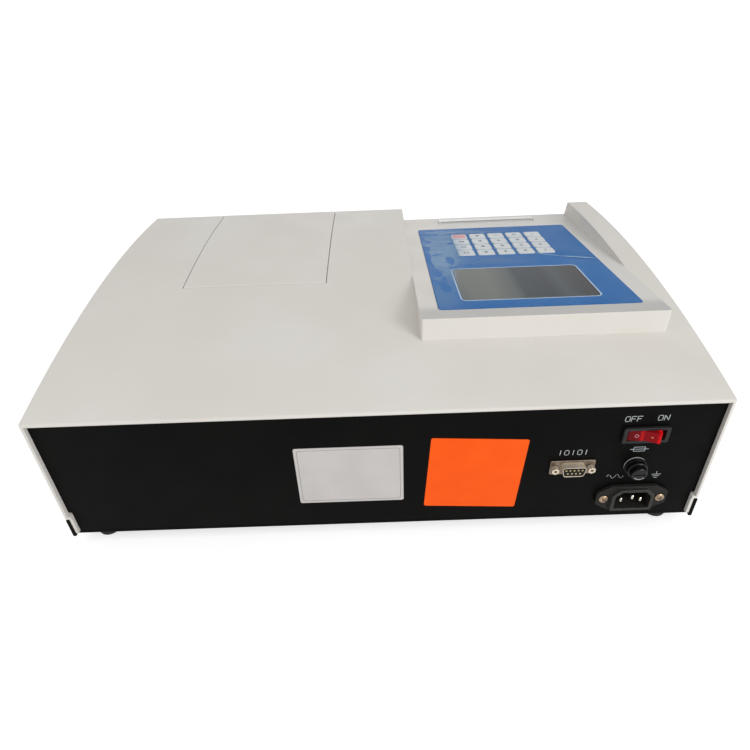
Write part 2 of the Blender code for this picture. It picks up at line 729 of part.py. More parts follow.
def make_sample_seat():
    left = WELL_X - WELL_WIDTH / 2 - DECK_OVERHANG
    right = WELL_X + WELL_WIDTH / 2 + DECK_OVERHANG
    sheet = DECK_SHEET
    outline = [(left - DECK_FOOT, SEAT_Z), (left + sheet, SEAT_Z), (left + sheet, DECK_Z - sheet),
               (right - sheet, DECK_Z - sheet), (right - sheet, SEAT_Z), (right + DECK_FOOT, SEAT_Z),
               (right + DECK_FOOT, SEAT_Z + sheet), (right, SEAT_Z + sheet), (right, DECK_Z),
               (left, DECK_Z), (left, SEAT_Z + sheet), (left - DECK_FOOT, SEAT_Z + sheet)]
    deck_front = front_y(DECK_Z, WALL) + DECK_FRONT_INSET
    deck_rear = WELL_REAR_Y + DECK_REAR_REACH
    deck = extruded("sample_deck", [outline], -deck_rear, -deck_front, FRONT)
    cup_y = sample_y()
    cut(deck, rod("aperture", APERTURE_RADIUS, -OVERRUN, OVERRUN, at(WELL_X, cup_y, DECK_Z), ROUND_STEPS))
    deck.data.materials.append(finish("zinc plated steel", (0.55, 0.56, 0.57), 0.35, 1.0))

    seat = at(WELL_X, cup_y, DECK_Z + SEAT_GAP)
    inner = CUP_RADIUS + SEAT_GAP
    outer = inner + LOCATOR_WALL
    ring = [(inner, LOCATOR_HEIGHT), (outer - LOCATOR_CHAMFER, LOCATOR_HEIGHT),
            (outer, LOCATOR_HEIGHT - LOCATOR_CHAMFER), (outer, 0), (inner, 0)]
    locator = turned("cup_locator", ring, seat, ring=True)
    locator.data.materials.append(finish("turned aluminium", (0.75, 0.76, 0.77), 0.3, 1.0))

    bore = CUP_RADIUS - CUP_WALL
    cup_profile = [(0, CUP_FILM), (bore, CUP_FILM), (bore, CUP_HEIGHT), (CUP_RADIUS + CUP_LIP, CUP_HEIGHT),
                   (CUP_RADIUS + CUP_LIP, CUP_HEIGHT - CUP_LIP_HEIGHT),
                   (CUP_RADIUS, CUP_HEIGHT - CUP_LIP_HEIGHT - CUP_LIP), (CUP_RADIUS, 0), (0, 0)]
    cup = turned("sample_cup", cup_profile, seat)
    cup.data.materials.append(finish("natural polyethylene", (0.80, 0.80, 0.78), 0.4))


def sample_y():
    """The cup stands in the middle of the well's length."""
    return (WELL_REAR_Y + front_y(DECK_Z, WALL)) / 2


# Measuring head, x-ray tube and detector

def make_measuring_head():
    top = DECK_Z - DECK_SHEET - SEAT_GAP
    centre = at(WELL_X, sample_y(), top)
    outline = [(-HEAD_TOP, 0), (-HEAD_SIDE, HEAD_TOP - HEAD_SIDE), (-HEAD_SIDE, -HEAD_SHOULDER),
               (-HEAD_SHOULDER, -HEAD_SIDE), (HEAD_SHOULDER, -HEAD_SIDE), (HEAD_SIDE, -HEAD_SHOULDER),
               (HEAD_SIDE, HEAD_TOP - HEAD_SIDE), (HEAD_TOP, 0)]
    head = extruded("measuring_head", [outline], -HEAD_DEPTH / 2, HEAD_DEPTH / 2, centre @ FRONT)
    face = (HEAD_SIDE + HEAD_SHOULDER) / math.sqrt(2)
    bore = HEAD_BORE + SEAT_GAP
    cut(head, rod("head_passage", HEAD_PASSAGE_RADIUS, -HEAD_PASSAGE_DEPTH, OVERRUN, centre, ROUND_STEPS))
    for name, side in (("tube_bore", 1), ("detector_bore", -1)):
        axis = centre @ Matrix.Rotation(side * (math.pi - HEAD_ANGLE), 4, "Y")
        cut(head, rod(name, bore, BORE_START, face + OVERRUN, axis, ROUND_STEPS))
    head.data.materials.append(finish("machined brass", (0.70, 0.52, 0.25), 0.3, 1.0))

    start = BORE_START + SEAT_GAP
    shoulder = face + SEAT_GAP
    room = WELL_WIDTH / 2 + DECK_OVERHANG - DECK_SHEET - TUBE_CLEARANCE
    tube_length = room / math.sin(HEAD_ANGLE) - shoulder - TUBE_RADIUS
    for name, side, radius, length, tail, metal in (
            ("xray_tube", 1, TUBE_RADIUS, tube_length, TUBE_NOSE, (0.45, 0.46, 0.48)),
            ("xray_detector", -1, DETECTOR_RADIUS, tube_length * DETECTOR_SHARE, DETECTOR_TAIL,
             (0.72, 0.73, 0.75))):
        end = shoulder + length
        profile = [(0, end + tail), (radius / 2, end + tail), (radius / 2, end), (radius, end),
                   (radius, shoulder), (HEAD_BORE, shoulder), (HEAD_BORE, start), (0, start)]
        axis = centre @ Matrix.Rotation(side * (math.pi - HEAD_ANGLE), 4, "Y")
        piece = turned(name, profile, axis)
        piece.data.materials.append(finish(name + " steel", metal, 0.35, 1.0))


# Power parts and main board on the tray's floor

def make_supplies():
    x = HALF_WIDTH - SUPPLY_SIDE_SETBACK - SUPPLY_WIDTH / 2
    y = SHELL_REAR_Y - SUPPLY_REAR_SETBACK - SUPPLY_DEPTH / 2
    half_x, half_y = SUPPLY_WIDTH / 2, SUPPLY_DEPTH / 2
    top = SEAT_Z + SUPPLY_HEIGHT
    supply = block("high_voltage_supply", (x - half_x, y - half_y, SEAT_Z), (x + half_x, y + half_y, top))
    half_x += SUPPLY_LIP
    half_y += SUPPLY_LIP
    join(supply, block("supply_lid", (x - half_x, y - half_y, top - SUPPLY_LID),
                       (x + half_x, y + half_y, top + SUPPLY_LID)))
    supply.data.materials.append(finish("grey coated steel", (0.30, 0.31, 0.33), 0.5))

    x = TRANSFORMER_SIDE_SETBACK - HALF_WIDTH
    y = SHELL_REAR_Y - TRANSFORMER_REAR_SETBACK
    section = rounded([(TRANSFORMER_BORE, TRANSFORMER_HEIGHT), (TRANSFORMER_RADIUS, TRANSFORMER_HEIGHT),
                       (TRANSFORMER_RADIUS, 0), (TRANSFORMER_BORE, 0)], TRANSFORMER_ROUND)
    transformer = turned("mains_transformer", section, at(x, y, SEAT_Z), ring=True)
    transformer.data.materials.append(finish("yellow polyester tape", (0.75, 0.60, 0.12), 0.4))


def make_main_board():
    low_x, low_y = (min(place) for place in zip(*board_corners()))
    high_x, high_y = (max(place) for place in zip(*board_corners()))
    low_z = FLOOR_Z + PILLAR_HEIGHT + SEAT_GAP
    top_z = low_z + BOARD_SHEET
    sunk_z = low_z + BOARD_SHEET / 2
    board = block("main_board", (low_x - BOARD_EDGE, low_y - BOARD_EDGE, low_z),
                  (high_x + BOARD_EDGE, high_y + BOARD_EDGE, top_z))
    sink_y = high_y - SINK_LENGTH
    width = SINK_PITCH * (SINK_FINS - 1) + SINK_FIN
    join(board, block("sink_base", (low_x, sink_y, sunk_z), (low_x + width, high_y, top_z + SINK_BASE)))
    for index in range(SINK_FINS):
        x = low_x + SINK_PITCH * index
        join(board, block(f"sink_fin_{index + 1}", (x, sink_y, top_z + SINK_BASE / 2),
                          (x + SINK_FIN, high_y, top_z + SINK_HEIGHT)))
    middle_x = (low_x + high_x) / 2
    for index, y in enumerate((low_y + CHIP_DEPTH, high_y - CHIP_DEPTH)):
        join(board, block(f"chip_{index + 1}", (middle_x, y - CHIP_DEPTH / 2, sunk_z),
                          (middle_x + CHIP_WIDTH, y + CHIP_DEPTH / 2, top_z + CHIP_HEIGHT)))
    board.data.materials.append(finish("green circuit board", (0.03, 0.18, 0.07), 0.4))


# Rear panel and what is mounted in it

def on_panel(across, height, depth=0.0):
    """Rear view frame at a place on the panel's outer face."""
    return at(-across, PANEL_Y + depth, BASE_Z + height) @ REAR


def d_outline(inset):
    """Outline of the serial connector, wide side up."""
    half = SHELL_HALF_WIDTH - inset
    high = SHELL_HALF_HEIGHT - inset
    narrow = half - 2 * high * math.tan(SHELL_SLANT)
    return rounded([(-half, high), (half, high), (narrow, -high), (-narrow, -high)], SHELL_CORNER - inset)


def inlet_outline(inset):
    """Outline of the mains inlet, with its two upper corners cut off."""
    half = INLET_HALF_WIDTH - inset
    high = INLET_HALF_HEIGHT - inset
    chamfer = INLET_CHAMFER - inset * math.tan(math.pi / 8)
    return rounded([(-half, -high), (half, -high), (half, high - chamfer), (half - chamfer, high),
                    (chamfer - half, high), (-half, high - chamfer)], INLET_CORNER)


def make_rear_panel():
    half = HALF_WIDTH - WALL - SEAT_GAP
    top = arch_z(PANEL_Y, WALL) - SEAT_GAP
    inner = PANEL_Y - PANEL_SHEET
    outline = [(PANEL_Y, SEAT_Z), (PANEL_Y, top), (inner, top), (inner, SEAT_Z + PANEL_SHEET),
               (inner - PANEL_FLANGE, SEAT_Z + PANEL_SHEET), (inner - PANEL_FLANGE, SEAT_Z)]
    panel = extruded("rear_panel", [outline], -half, half, SIDE)
    low_half = TONGUE_HALF - TONGUE_WALL - SEAT_GAP
    step_z = LEDGE_Z + LEDGE_LAP + SEAT_GAP
    for side in (-1, 1):
        x1, x2 = sorted((side * low_half, side * (half + OVERRUN)))
        cut(panel, block(f"panel_step_{side}", (x1, inner - PANEL_FLANGE - OVERRUN, BASE_Z),
                         (x2, PANEL_Y + OVERRUN, step_z)))
    behind, ahead = -PANEL_SHEET - OVERRUN, OVERRUN
    fuse_hole = rod("fuse_hole", HOLDER_NECK_RADIUS + SEAT_GAP, behind, ahead,
                    on_panel(FUSE_ACROSS, FUSE_HEIGHT), ROUND_STEPS)
    switch_hole = extruded("switch_hole", [rectangle(SWITCH_BODY_WIDTH + 2 * SEAT_GAP,
                                                     SWITCH_BODY_HEIGHT + 2 * SEAT_GAP)],
                           behind, ahead, on_panel(SWITCH_ACROSS, SWITCH_HEIGHT))
    serial = on_panel(SERIAL_ACROSS, SERIAL_HEIGHT)
    serial_hole = extruded("serial_hole", [d_outline(0)], behind, ahead, serial)
    inlet_hole = extruded("inlet_hole", [inlet_outline(INLET_BODY_INSET - SEAT_GAP)], behind, ahead,
                          on_panel(INLET_ACROSS, INLET_HEIGHT))
    cut(panel, fuse_hole, switch_hole, serial_hole, inlet_hole)
    for side in (-1, 1):
        cut(panel, rod(f"jack_hole_{side}", JACK_NECK_RADIUS + SEAT_GAP, behind, ahead,
                       serial @ at(side * JACK_SPACING / 2, 0, 0)))
    panel.data.materials.append(finish("black powder coat", (0.012, 0.012, 0.012), 0.5))


def rocker_face():
    """Far ends of the rocker's face, and its sweep about the pivot."""
    end = (ROCKER_HALF, ROCKER_RISE + ROCKER_HALF * math.tan(ROCKER_VEE))
    return end, math.hypot(*end)


def make_switch():
    frame = on_panel(SWITCH_ACROSS, SWITCH_HEIGHT)
    bezel = extruded("switch_body", [rounded(rectangle(BEZEL_WIDTH, BEZEL_HEIGHT), BEZEL_CORNER)],
                     SEAT_GAP, BEZEL_PROUD, frame)
    body = block("switch_housing", (-SWITCH_BODY_WIDTH / 2, -SWITCH_BODY_HEIGHT / 2, -SWITCH_BODY_DEPTH),
                 (SWITCH_BODY_WIDTH / 2, SWITCH_BODY_HEIGHT / 2, BEZEL_PROUD / 2), frame)
    end, sweep = rocker_face()
    half = sweep + ROCKER_CLEARANCE
    high = ROCKER_HEIGHT / 2 + SEAT_GAP
    turn = math.radians(ROCKER_THROW) / 2
    depth = ROCKER_PIVOT_DEPTH + ROCKER_BACK + sweep * math.sin(turn) + ROCKER_CLEARANCE
    well = block("switch_well", (-half, -high, -depth), (half, high, BEZEL_PROUD + OVERRUN), frame)
    pivot = frame @ at(0, 0, -ROCKER_PIVOT_DEPTH)
    across = pivot @ Matrix.Rotation(math.pi / 2, 4, "X")
    hole = ROCKER_STUB_RADIUS + SEAT_GAP
    holes = rod("rocker_holes", hole, -SWITCH_BODY_HEIGHT, SWITCH_BODY_HEIGHT, across)
    join(bezel, body)
    cut(bezel, well, holes)
    bezel.data.materials.append(finish("black nylon", (0.03, 0.03, 0.03), 0.4))

    arc = [math.asin(-ROCKER_BACK / sweep) + (math.atan2(end[1], end[0]) - math.asin(-ROCKER_BACK / sweep))
           * step / SMALL_STEPS for step in range(SMALL_STEPS + 1)]
    right = [(sweep * math.cos(angle), sweep * math.sin(angle)) for angle in arc]
    left = [(-x, y) for x, y in reversed(right)]
    outline = right + [(0, ROCKER_RISE)] + left
    upright = at(-SWITCH_ACROSS, PANEL_Y - ROCKER_PIVOT_DEPTH, BASE_Z + SWITCH_HEIGHT)
    view = Matrix(((-1, 0, 0, 0), (0, 1, 0, 0), (0, 0, -1, 0), (0, 0, 0, 1)))
    frame = upright @ view @ Matrix.Rotation(turn, 4, "Z")
    rocker = extruded("power_rocker", [outline], -ROCKER_HEIGHT / 2, ROCKER_HEIGHT / 2, frame)
    reach = ROCKER_HEIGHT / 2 + ROCKER_STUB_REACH
    join(rocker, rod("rocker_stubs", ROCKER_STUB_RADIUS, -reach, reach, frame))
    rocker.data.materials.append(finish("red polycarbonate", (0.60, 0.01, 0.02), 0.15))


def make_fuse_holder():
    frame = on_panel(FUSE_ACROSS, FUSE_HEIGHT)
    neck_gap = HOLDER_NECK_RADIUS + SEAT_GAP
    washer_top = SEAT_GAP + WASHER_SHEET
    washer = turned("fuse_washer", [(neck_gap, washer_top), (WASHER_RADIUS, washer_top),
                                    (WASHER_RADIUS, SEAT_GAP), (neck_gap, SEAT_GAP)], frame, ring=True)
    washer.data.materials.append(finish("pale grey fibre", (0.62, 0.63, 0.62), 0.6))

    base = washer_top + SEAT_GAP
    wide = CAP_RADIUS + SEAT_GAP
    narrow = FUSE_RADIUS + SEAT_GAP
    fuse_end = FUSE_SETTING - FUSE_LENGTH
    step = -CAP_INNER_REACH - SEAT_GAP
    profile = [(0, fuse_end - SEAT_GAP), (narrow, fuse_end - SEAT_GAP), (narrow, step), (wide, step),
               (wide, HOLDER_PROUD), (HOLDER_RADIUS - HOLDER_CHAMFER, HOLDER_PROUD),
               (HOLDER_RADIUS, HOLDER_PROUD - HOLDER_CHAMFER), (HOLDER_RADIUS, base + HOLDER_FLANGE),
               (HOLDER_FLANGE_RADIUS, base + HOLDER_FLANGE), (HOLDER_FLANGE_RADIUS, base),
               (HOLDER_NECK_RADIUS, base), (HOLDER_NECK_RADIUS, fuse_end - HOLDER_FLOOR),
               (0, fuse_end - HOLDER_FLOOR)]
    holder = turned("fuse_holder", profile, frame)
    holder.data.materials.append(finish("black phenolic", (0.02, 0.02, 0.02), 0.35))

    front = CAP_PAST_SHELL + PANEL_RECESS
    socket_end = FUSE_SETTING + SEAT_GAP
    profile = [(0, front), (CAP_RADIUS - CAP_CHAMFER, front), (CAP_RADIUS, front - CAP_CHAMFER),
               (CAP_RADIUS, -CAP_INNER_REACH), (narrow, -CAP_INNER_REACH), (narrow, socket_end),
               (0, socket_end)]
    cap = turned("fuse_cap", profile, frame)
    cut(cap, block("cap_slot", (-CAP_SLOT_LENGTH / 2, -CAP_SLOT / 2, front - CAP_SLOT_DEPTH),
                   (CAP_SLOT_LENGTH / 2, CAP_SLOT / 2, front + OVERRUN), frame))
    cap.data.materials.append(finish("black phenolic cap", (0.02, 0.02, 0.02), 0.35))

    glass = FUSE_RADIUS - FUSE_GLASS_STEP
    near = FUSE_SETTING - FUSE_CAP_LENGTH
    far = fuse_end + FUSE_CAP_LENGTH
    profile = [(0, FUSE_SETTING), (FUSE_RADIUS, FUSE_SETTING), (FUSE_RADIUS, near), (glass, near),
               (glass, far), (FUSE_RADIUS, far), (FUSE_RADIUS, fuse_end), (0, fuse_end)]
    fuse = turned("glass_fuse", profile, frame, steps=SMALL_STEPS)
    fuse.data.materials.append(finish("fuse glass", (0.75, 0.78, 0.78), 0.1))


def make_serial_port():
    frame = on_panel(SERIAL_ACROSS, SERIAL_HEIGHT)
    nickel = finish("nickel plated steel", (0.72, 0.66, 0.58), 0.25, 1.0)
    flange_front = SEAT_GAP + SERIAL_SHEET
    flange = rounded(rectangle(SERIAL_FLANGE_WIDTH, SERIAL_FLANGE_HEIGHT), SERIAL_CORNER)
    shell = extruded("serial_shell", [flange], SEAT_GAP, flange_front, frame)
    join(shell, extruded("serial_shroud", [d_outline(0)], SEAT_GAP + SERIAL_SHEET / 2, SHELL_PROUD, frame))
    cut(shell, extruded("shroud_bore", [d_outline(SHELL_WALL)], -OVERRUN, SHELL_PROUD + OVERRUN, frame))
    for side in (-1, 1):
        cut(shell, rod(f"shell_hole_{side}", JACK_NECK_RADIUS + SEAT_GAP, -OVERRUN, OVERRUN,
                       frame @ at(side * JACK_SPACING / 2, 0, 0)))
    shell.data.materials.append(nickel)

    front = SHELL_PROUD - INSERT_SETBACK
    insert = extruded("serial_insert", [d_outline(SHELL_WALL + SEAT_GAP)], -INSERT_BACK, front, frame)
    for count, row in ((5, CONTACT_ROWS / 2), (4, -CONTACT_ROWS / 2)):
        for index in range(count):
            x = (index - (count - 1) / 2) * CONTACT_PITCH
            cut(insert, rod(f"contact_{count}_{index + 1}", CONTACT_RADIUS, front - CONTACT_DEPTH,
                            front + OVERRUN, frame @ at(x, row, 0), steps=8))
    insert.data.materials.append(finish("black thermoplastic", (0.02, 0.02, 0.02), 0.45))

    for name, side in (("jackscrew_left", -1), ("jackscrew_right", 1)):
        place = frame @ at(side * JACK_SPACING / 2, 0, 0)
        screw = rod(name, JACK_ACROSS_CORNERS / 2, flange_front + SEAT_GAP, JACK_PROUD, place, steps=6)
        floor = JACK_PROUD - JACK_HOLE_DEPTH
        join(screw, rod(name + "_neck", JACK_NECK_RADIUS, -JACK_NECK_REACH, floor, place))
        cut(screw, rod(name + "_thread", JACK_HOLE_RADIUS, floor + SEAT_GAP, JACK_PROUD + OVERRUN, place))
        screw.data.materials.append(nickel)


def make_mains_inlet():
    frame = on_panel(INLET_ACROSS, INLET_HEIGHT)
    half, ear, high, shoulder = (INLET_FLANGE_HALF_WIDTH, INLET_EAR_HALF_HEIGHT,
                                 INLET_FLANGE_HALF_HEIGHT, INLET_SHOULDER)
    outline = rounded([(-half, -ear), (-shoulder, -high), (shoulder, -high), (half, -ear), (half, ear),
                       (shoulder, high), (-shoulder, high), (-half, ear)], INLET_CORNER)
    inlet = extruded("inlet_body", [outline], SEAT_GAP, SEAT_GAP + INLET_FLANGE_SHEET, frame)
    within = SEAT_GAP + INLET_FLANGE_SHEET / 2
    join(inlet, extruded("inlet_shroud", [inlet_outline(0)], within, INLET_PROUD, frame),
         extruded("inlet_back", [inlet_outline(INLET_BODY_INSET)], -INLET_BODY_DEPTH, within, frame))
    cut(inlet, extruded("inlet_cavity", [inlet_outline(INLET_WALL)], -INLET_CAVITY_DEPTH,
                        INLET_PROUD + OVERRUN, frame))
    blade_half = BLADE_WIDTH / 2
    for name, x, y, front in (("blade_live", -BLADE_SPACING / 2, -BLADE_OFFSET, BLADE_FRONT),
                              ("blade_neutral", BLADE_SPACING / 2, -BLADE_OFFSET, BLADE_FRONT),
                              ("blade_earth", 0, BLADE_OFFSET, BLADE_FRONT + EARTH_EXTRA)):
        low_y, high_y = y - BLADE_HEIGHT / 2, y + BLADE_HEIGHT / 2
        side = blade_half + SEAT_GAP
        cut(inlet, block(name + "_slot", (x - side, low_y - SEAT_GAP, -INLET_BODY_DEPTH - OVERRUN),
                         (x + side, high_y + SEAT_GAP, OVERRUN - INLET_BODY_DEPTH), frame))
        blade = block(name, (x - blade_half, low_y, -INLET_BODY_DEPTH - BLADE_TAIL),
                      (x + blade_half, high_y, front), frame)
        soften(blade, BLADE_TIP, 1)
        blade.data.materials.append(finish(name + " brass", (0.80, 0.78, 0.72), 0.2, 1.0))
    inlet.data.materials.append(finish("black thermoset", (0.045, 0.045, 0.042), 0.4))


# Console: overlay, keys, display and key board

def key_places():
    """Middle of each key on the console, row by row from the front."""
    places = []
    for row in range(KEY_ROWS):
        for column in range(KEY_COLUMNS):
            x = (column - (KEY_COLUMNS - 1) / 2) * KEY_PITCH_ACROSS
            y = KEY_GRID_Y + (row - (KEY_ROWS - 1) / 2) * KEY_PITCH_ALONG
            places.append((x, y))
    return places


def make_console():
    low = SEAT_GAP - RECESS_DEPTH
    top = low + OVERLAY_SHEET
    window_middle = (WINDOW_OFFSET, WINDOW_Y)
    hole_width = KEY_WIDTH + 2 * SEAT_GAP
    hole_length = KEY_LENGTH + 2 * SEAT_GAP
    hole_corner = min(hole_width, hole_length) * KEY_CORNER_SHARE
    outlines = [rounded(rectangle(OVERLAY_WIDTH, OVERLAY_LENGTH, (0, OVERLAY_Y)), OVERLAY_CORNER),
                rounded(rectangle(WINDOW_WIDTH, WINDOW_LENGTH, window_middle), WINDOW_CORNER)]
    for place in key_places():
        outlines.append(rounded(rectangle(hole_width, hole_length, place), hole_corner, KEY_CORNER_STEPS))
    overlay = extruded("keypad_overlay", outlines, low, top, CONSOLE)
    overlay.data.materials.append(finish("blue printed polyester", (0.06, 0.19, 0.48), 0.25))

    pane = rounded(rectangle(WINDOW_WIDTH - 2 * SEAT_GAP, WINDOW_LENGTH - 2 * SEAT_GAP, window_middle),
                   WINDOW_CORNER - SEAT_GAP)
    window = extruded("display_window", [pane], low, top, CONSOLE)
    window.data.materials.append(finish("grey display window", (0.10, 0.12, 0.12), 0.1))

    bottom = KEY_BOARD_TOP + (KEY_TRAVEL + SEAT_GAP)
    flange_top = -RECESS_DEPTH
    under = flange_top - KEY_FLANGE_SHEET
    flange = (KEY_WIDTH + 2 * KEY_FLANGE, KEY_LENGTH + 2 * KEY_FLANGE)
    face = (KEY_WIDTH - 2 * KEY_BEVEL, KEY_LENGTH - 2 * KEY_BEVEL)
    levels = [(bottom, KEY_POST, KEY_POST), (under, KEY_POST, KEY_POST), (under, *flange),
              (flange_top, *flange), (flange_top, KEY_WIDTH, KEY_LENGTH),
              (top + KEY_PROUD - KEY_BEVEL, KEY_WIDTH, KEY_LENGTH), (top + KEY_PROUD, *face)]
    white = finish("off white key", (0.78, 0.77, 0.72), 0.35)
    red = finish("red key", (0.70, 0.28, 0.24), 0.35)
    mesh = None
    for number, (x, y) in enumerate(key_places(), start=1):
        frame = CONSOLE @ at(x, y, 0)
        name = f"key_{number:02d}"
        if mesh is None:
            key = stepped(name, levels, frame, KEY_CORNER_SHARE)
            mesh = key.data
            mesh.materials.append(white)
        else:
            key = add(name, mesh, frame)
        if number == KEY_COLUMNS:
            key.material_slots[0].link = "OBJECT"
            key.material_slots[0].material = red

    across = key_field(KEY_PITCH_ACROSS, KEY_GAP_ACROSS, KEY_COLUMNS) + 2 * KEY_BOARD_EDGE
    along = key_field(KEY_PITCH_ALONG, KEY_GAP_ALONG, KEY_ROWS) + 2 * KEY_BOARD_EDGE
    board = block_around("key_board", across, along, (0, KEY_GRID_Y),
                         KEY_BOARD_TOP - BOARD_SHEET, KEY_BOARD_TOP)
    board.data.materials.append(finish("green key board", (0.03, 0.18, 0.07), 0.4))

    rim = MODULE_RIM - SEAT_GAP
    module = block_around("display_module", WINDOW_WIDTH + 2 * rim, WINDOW_LENGTH + 2 * rim, window_middle,
                          KEY_BOARD_TOP - MODULE_DEPTH / 2, -RECESS_DEPTH)
    plate = block_around("module_plate", WINDOW_WIDTH + 2 * (rim + MODULE_LEDGE),
                         WINDOW_LENGTH + 2 * (rim + MODULE_LEDGE), window_middle,
                         KEY_BOARD_TOP - MODULE_DEPTH, KEY_BOARD_TOP)
    join(module, plate)
    module.data.materials.append(finish("display frame", (0.20, 0.21, 0.21), 0.5))


# Printer: tear bar, frame, platen roller, paper roll and spindle

def make_printer():
    teeth = round(TEAR_WIDTH / TEAR_PITCH)
    back = SLOT_Y - PAPER_GAP
    half_pitch = TEAR_WIDTH / teeth / 2
    edge = [(TEAR_WIDTH / 2 - half_pitch * step, back - TEAR_TOOTH * (1 - step % 2))
            for step in range(2 * teeth + 1)]
    front = back - TEAR_LENGTH
    outline = edge + [(-TEAR_WIDTH / 2, front), (TEAR_WIDTH / 2, front)]
    bar = extruded("tear_bar", [outline], SEAT_GAP, SEAT_GAP + TEAR_SHEET, CONSOLE)
    blade_back = back - TEAR_TOOTH - SEAT_GAP
    join(bar, block("tear_blade", (-TEAR_WIDTH / 2, blade_back - TEAR_BLADE, -TEAR_BLADE_DEPTH),
                    (TEAR_WIDTH / 2, blade_back, SEAT_GAP + TEAR_SHEET / 2), CONSOLE))
    bar.data.materials.append(finish("white tear bar", (0.82, 0.81, 0.78), 0.35))

    half = PRINTER_WIDTH / 2
    near, far = PRINTER_Y, PRINTER_Y - PRINTER_LENGTH
    top = KEY_BOARD_TOP
    frame = block("printer_frame", (-half, far, top - PRINTER_DEPTH), (half, near, top), CONSOLE)
    floor = top - PRINTER_DEPTH + PRINTER_WALL
    cut(frame, block("printer_hollow", (PRINTER_WALL - half, far + PRINTER_WALL, floor),
                     (half - PRINTER_WALL, near - PRINTER_WALL, top + OVERRUN), CONSOLE))
    across = Matrix.Rotation(math.pi / 2, 4, "Y")
    roll_axis = CONSOLE @ at(0, near - ROLL_SETTING, -ROLL_DEPTH) @ across
    platen_axis = CONSOLE @ at(0, near - PLATEN_SETTING, -PLATEN_DEPTH) @ across
    reach = half + SEAT_GAP
    cut(frame, rod("spindle_holes", SPINDLE_END_RADIUS + SEAT_GAP, -reach, reach, roll_axis),
        rod("platen_holes", PLATEN_END_RADIUS + SEAT_GAP, -reach, reach, platen_axis))
    frame.data.materials.append(finish("grey printer frame", (0.25, 0.26, 0.27), 0.45))

    def roller(name, body_radius, body_width, end_radius):
        body, end = body_width / 2, half - SEAT_GAP
        axis = platen_axis if name == "platen_roller" else roll_axis
        return turned(name, [(0, end), (end_radius, end), (end_radius, body), (body_radius, body),
                             (body_radius, -body), (end_radius, -body), (end_radius, -end), (0, -end)],
                      axis, steps=SMALL_STEPS)

    platen = roller("platen_roller", PLATEN_RADIUS, PLATEN_WIDTH, PLATEN_END_RADIUS)
    platen.data.materials.append(finish("black platen rubber", (0.03, 0.03, 0.03), 0.7))
    spindle = roller("paper_spindle", CORE_RADIUS - SEAT_GAP, PLATEN_WIDTH, SPINDLE_END_RADIUS)
    spindle.data.materials.append(finish("white acetal", (0.80, 0.80, 0.78), 0.4))
    paper = turned("paper_roll", [(CORE_RADIUS, ROLL_WIDTH / 2), (ROLL_RADIUS, ROLL_WIDTH / 2),
                                  (ROLL_RADIUS, -ROLL_WIDTH / 2), (CORE_RADIUS, -ROLL_WIDTH / 2)],
                   roll_axis, ring=True)
    paper.data.materials.append(finish("thermal paper", (0.85, 0.85, 0.83), 0.7))


make_feet()
make_base_tray()
make_cover()
make_lid()
make_sample_seat()
make_measuring_head()
make_supplies()
make_main_board()
make_rear_panel()
make_switch()
make_fuse_holder()
make_serial_port()
make_mains_inlet()
make_console()
make_printer()
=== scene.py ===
import json
import math

import bmesh
import bpy
from mathutils import Matrix, Vector, noise


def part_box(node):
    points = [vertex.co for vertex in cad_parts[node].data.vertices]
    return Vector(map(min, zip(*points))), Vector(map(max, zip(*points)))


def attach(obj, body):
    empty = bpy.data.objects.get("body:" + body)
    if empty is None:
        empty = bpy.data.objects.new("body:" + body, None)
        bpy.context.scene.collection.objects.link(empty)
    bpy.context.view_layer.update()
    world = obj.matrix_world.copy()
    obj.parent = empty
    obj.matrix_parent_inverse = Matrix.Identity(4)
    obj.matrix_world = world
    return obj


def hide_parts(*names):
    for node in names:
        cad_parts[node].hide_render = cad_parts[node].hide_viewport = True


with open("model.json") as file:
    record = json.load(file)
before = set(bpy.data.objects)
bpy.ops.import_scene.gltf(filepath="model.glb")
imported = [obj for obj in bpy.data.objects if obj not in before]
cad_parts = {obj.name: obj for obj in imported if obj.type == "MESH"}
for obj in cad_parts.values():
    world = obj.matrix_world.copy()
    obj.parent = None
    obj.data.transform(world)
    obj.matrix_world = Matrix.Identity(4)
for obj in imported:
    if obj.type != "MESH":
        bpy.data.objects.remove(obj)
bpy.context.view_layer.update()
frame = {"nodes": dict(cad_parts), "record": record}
nodes = frame["nodes"]
bodyOf = {node: body for body, names in frame["record"]["behaviour"]["bodies"].items() for node in names}
footNames = ["foot_" + corner for corner in ("rear_left", "rear_right", "front_left", "front_right")]
mm = 0.001

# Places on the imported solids, in mm and degrees: the middle of the console's top rear edge and its slope, the
# rear panel's outer face, and the middles of the fuse holder and of the rocker on it
places = {"consoleEdge": (-121.5, 113, 146.9), "consoleSlope": 6.97, "panelFace": 177, "fuse": (-177.8, 61.8),
          "rocker": -178.8}

# The console's top surface: x across, y up the slope to the rear, z out of it
consoleSlope = math.radians(places["consoleSlope"])
consoleOrigin = Matrix.Translation([c * mm for c in places["consoleEdge"]])
consoleFrame = consoleOrigin @ Matrix.Rotation(consoleSlope, 4, "X")
consoleInverse = consoleFrame.inverted()


def onConsole(across, along, proud=0.0):
    return consoleFrame @ Matrix.Translation((across, along, proud))


def onPanel(across, height, proud=0.0, turn=0.0):
    # The rear panel as seen from behind: x to the viewer's right, y up, z out of the panel
    face = places["panelFace"] * mm + proud
    flat = Matrix(((-1, 0, 0, -across), (0, 0, 1, face), (0, 1, 0, height), (0, 0, 0, 1)))
    return flat @ Matrix.Rotation(turn, 4, "Z")


# Colours and nodes

def linear(code):
    # an sRGB hex value as linear light
    parts = [int(code[i:i + 2], 16) / 255 for i in (1, 3, 5)]
    return [p / 12.92 if p <= 0.04045 else ((p + 0.055) / 1.055) ** 2.4 for p in parts] + [1.0]


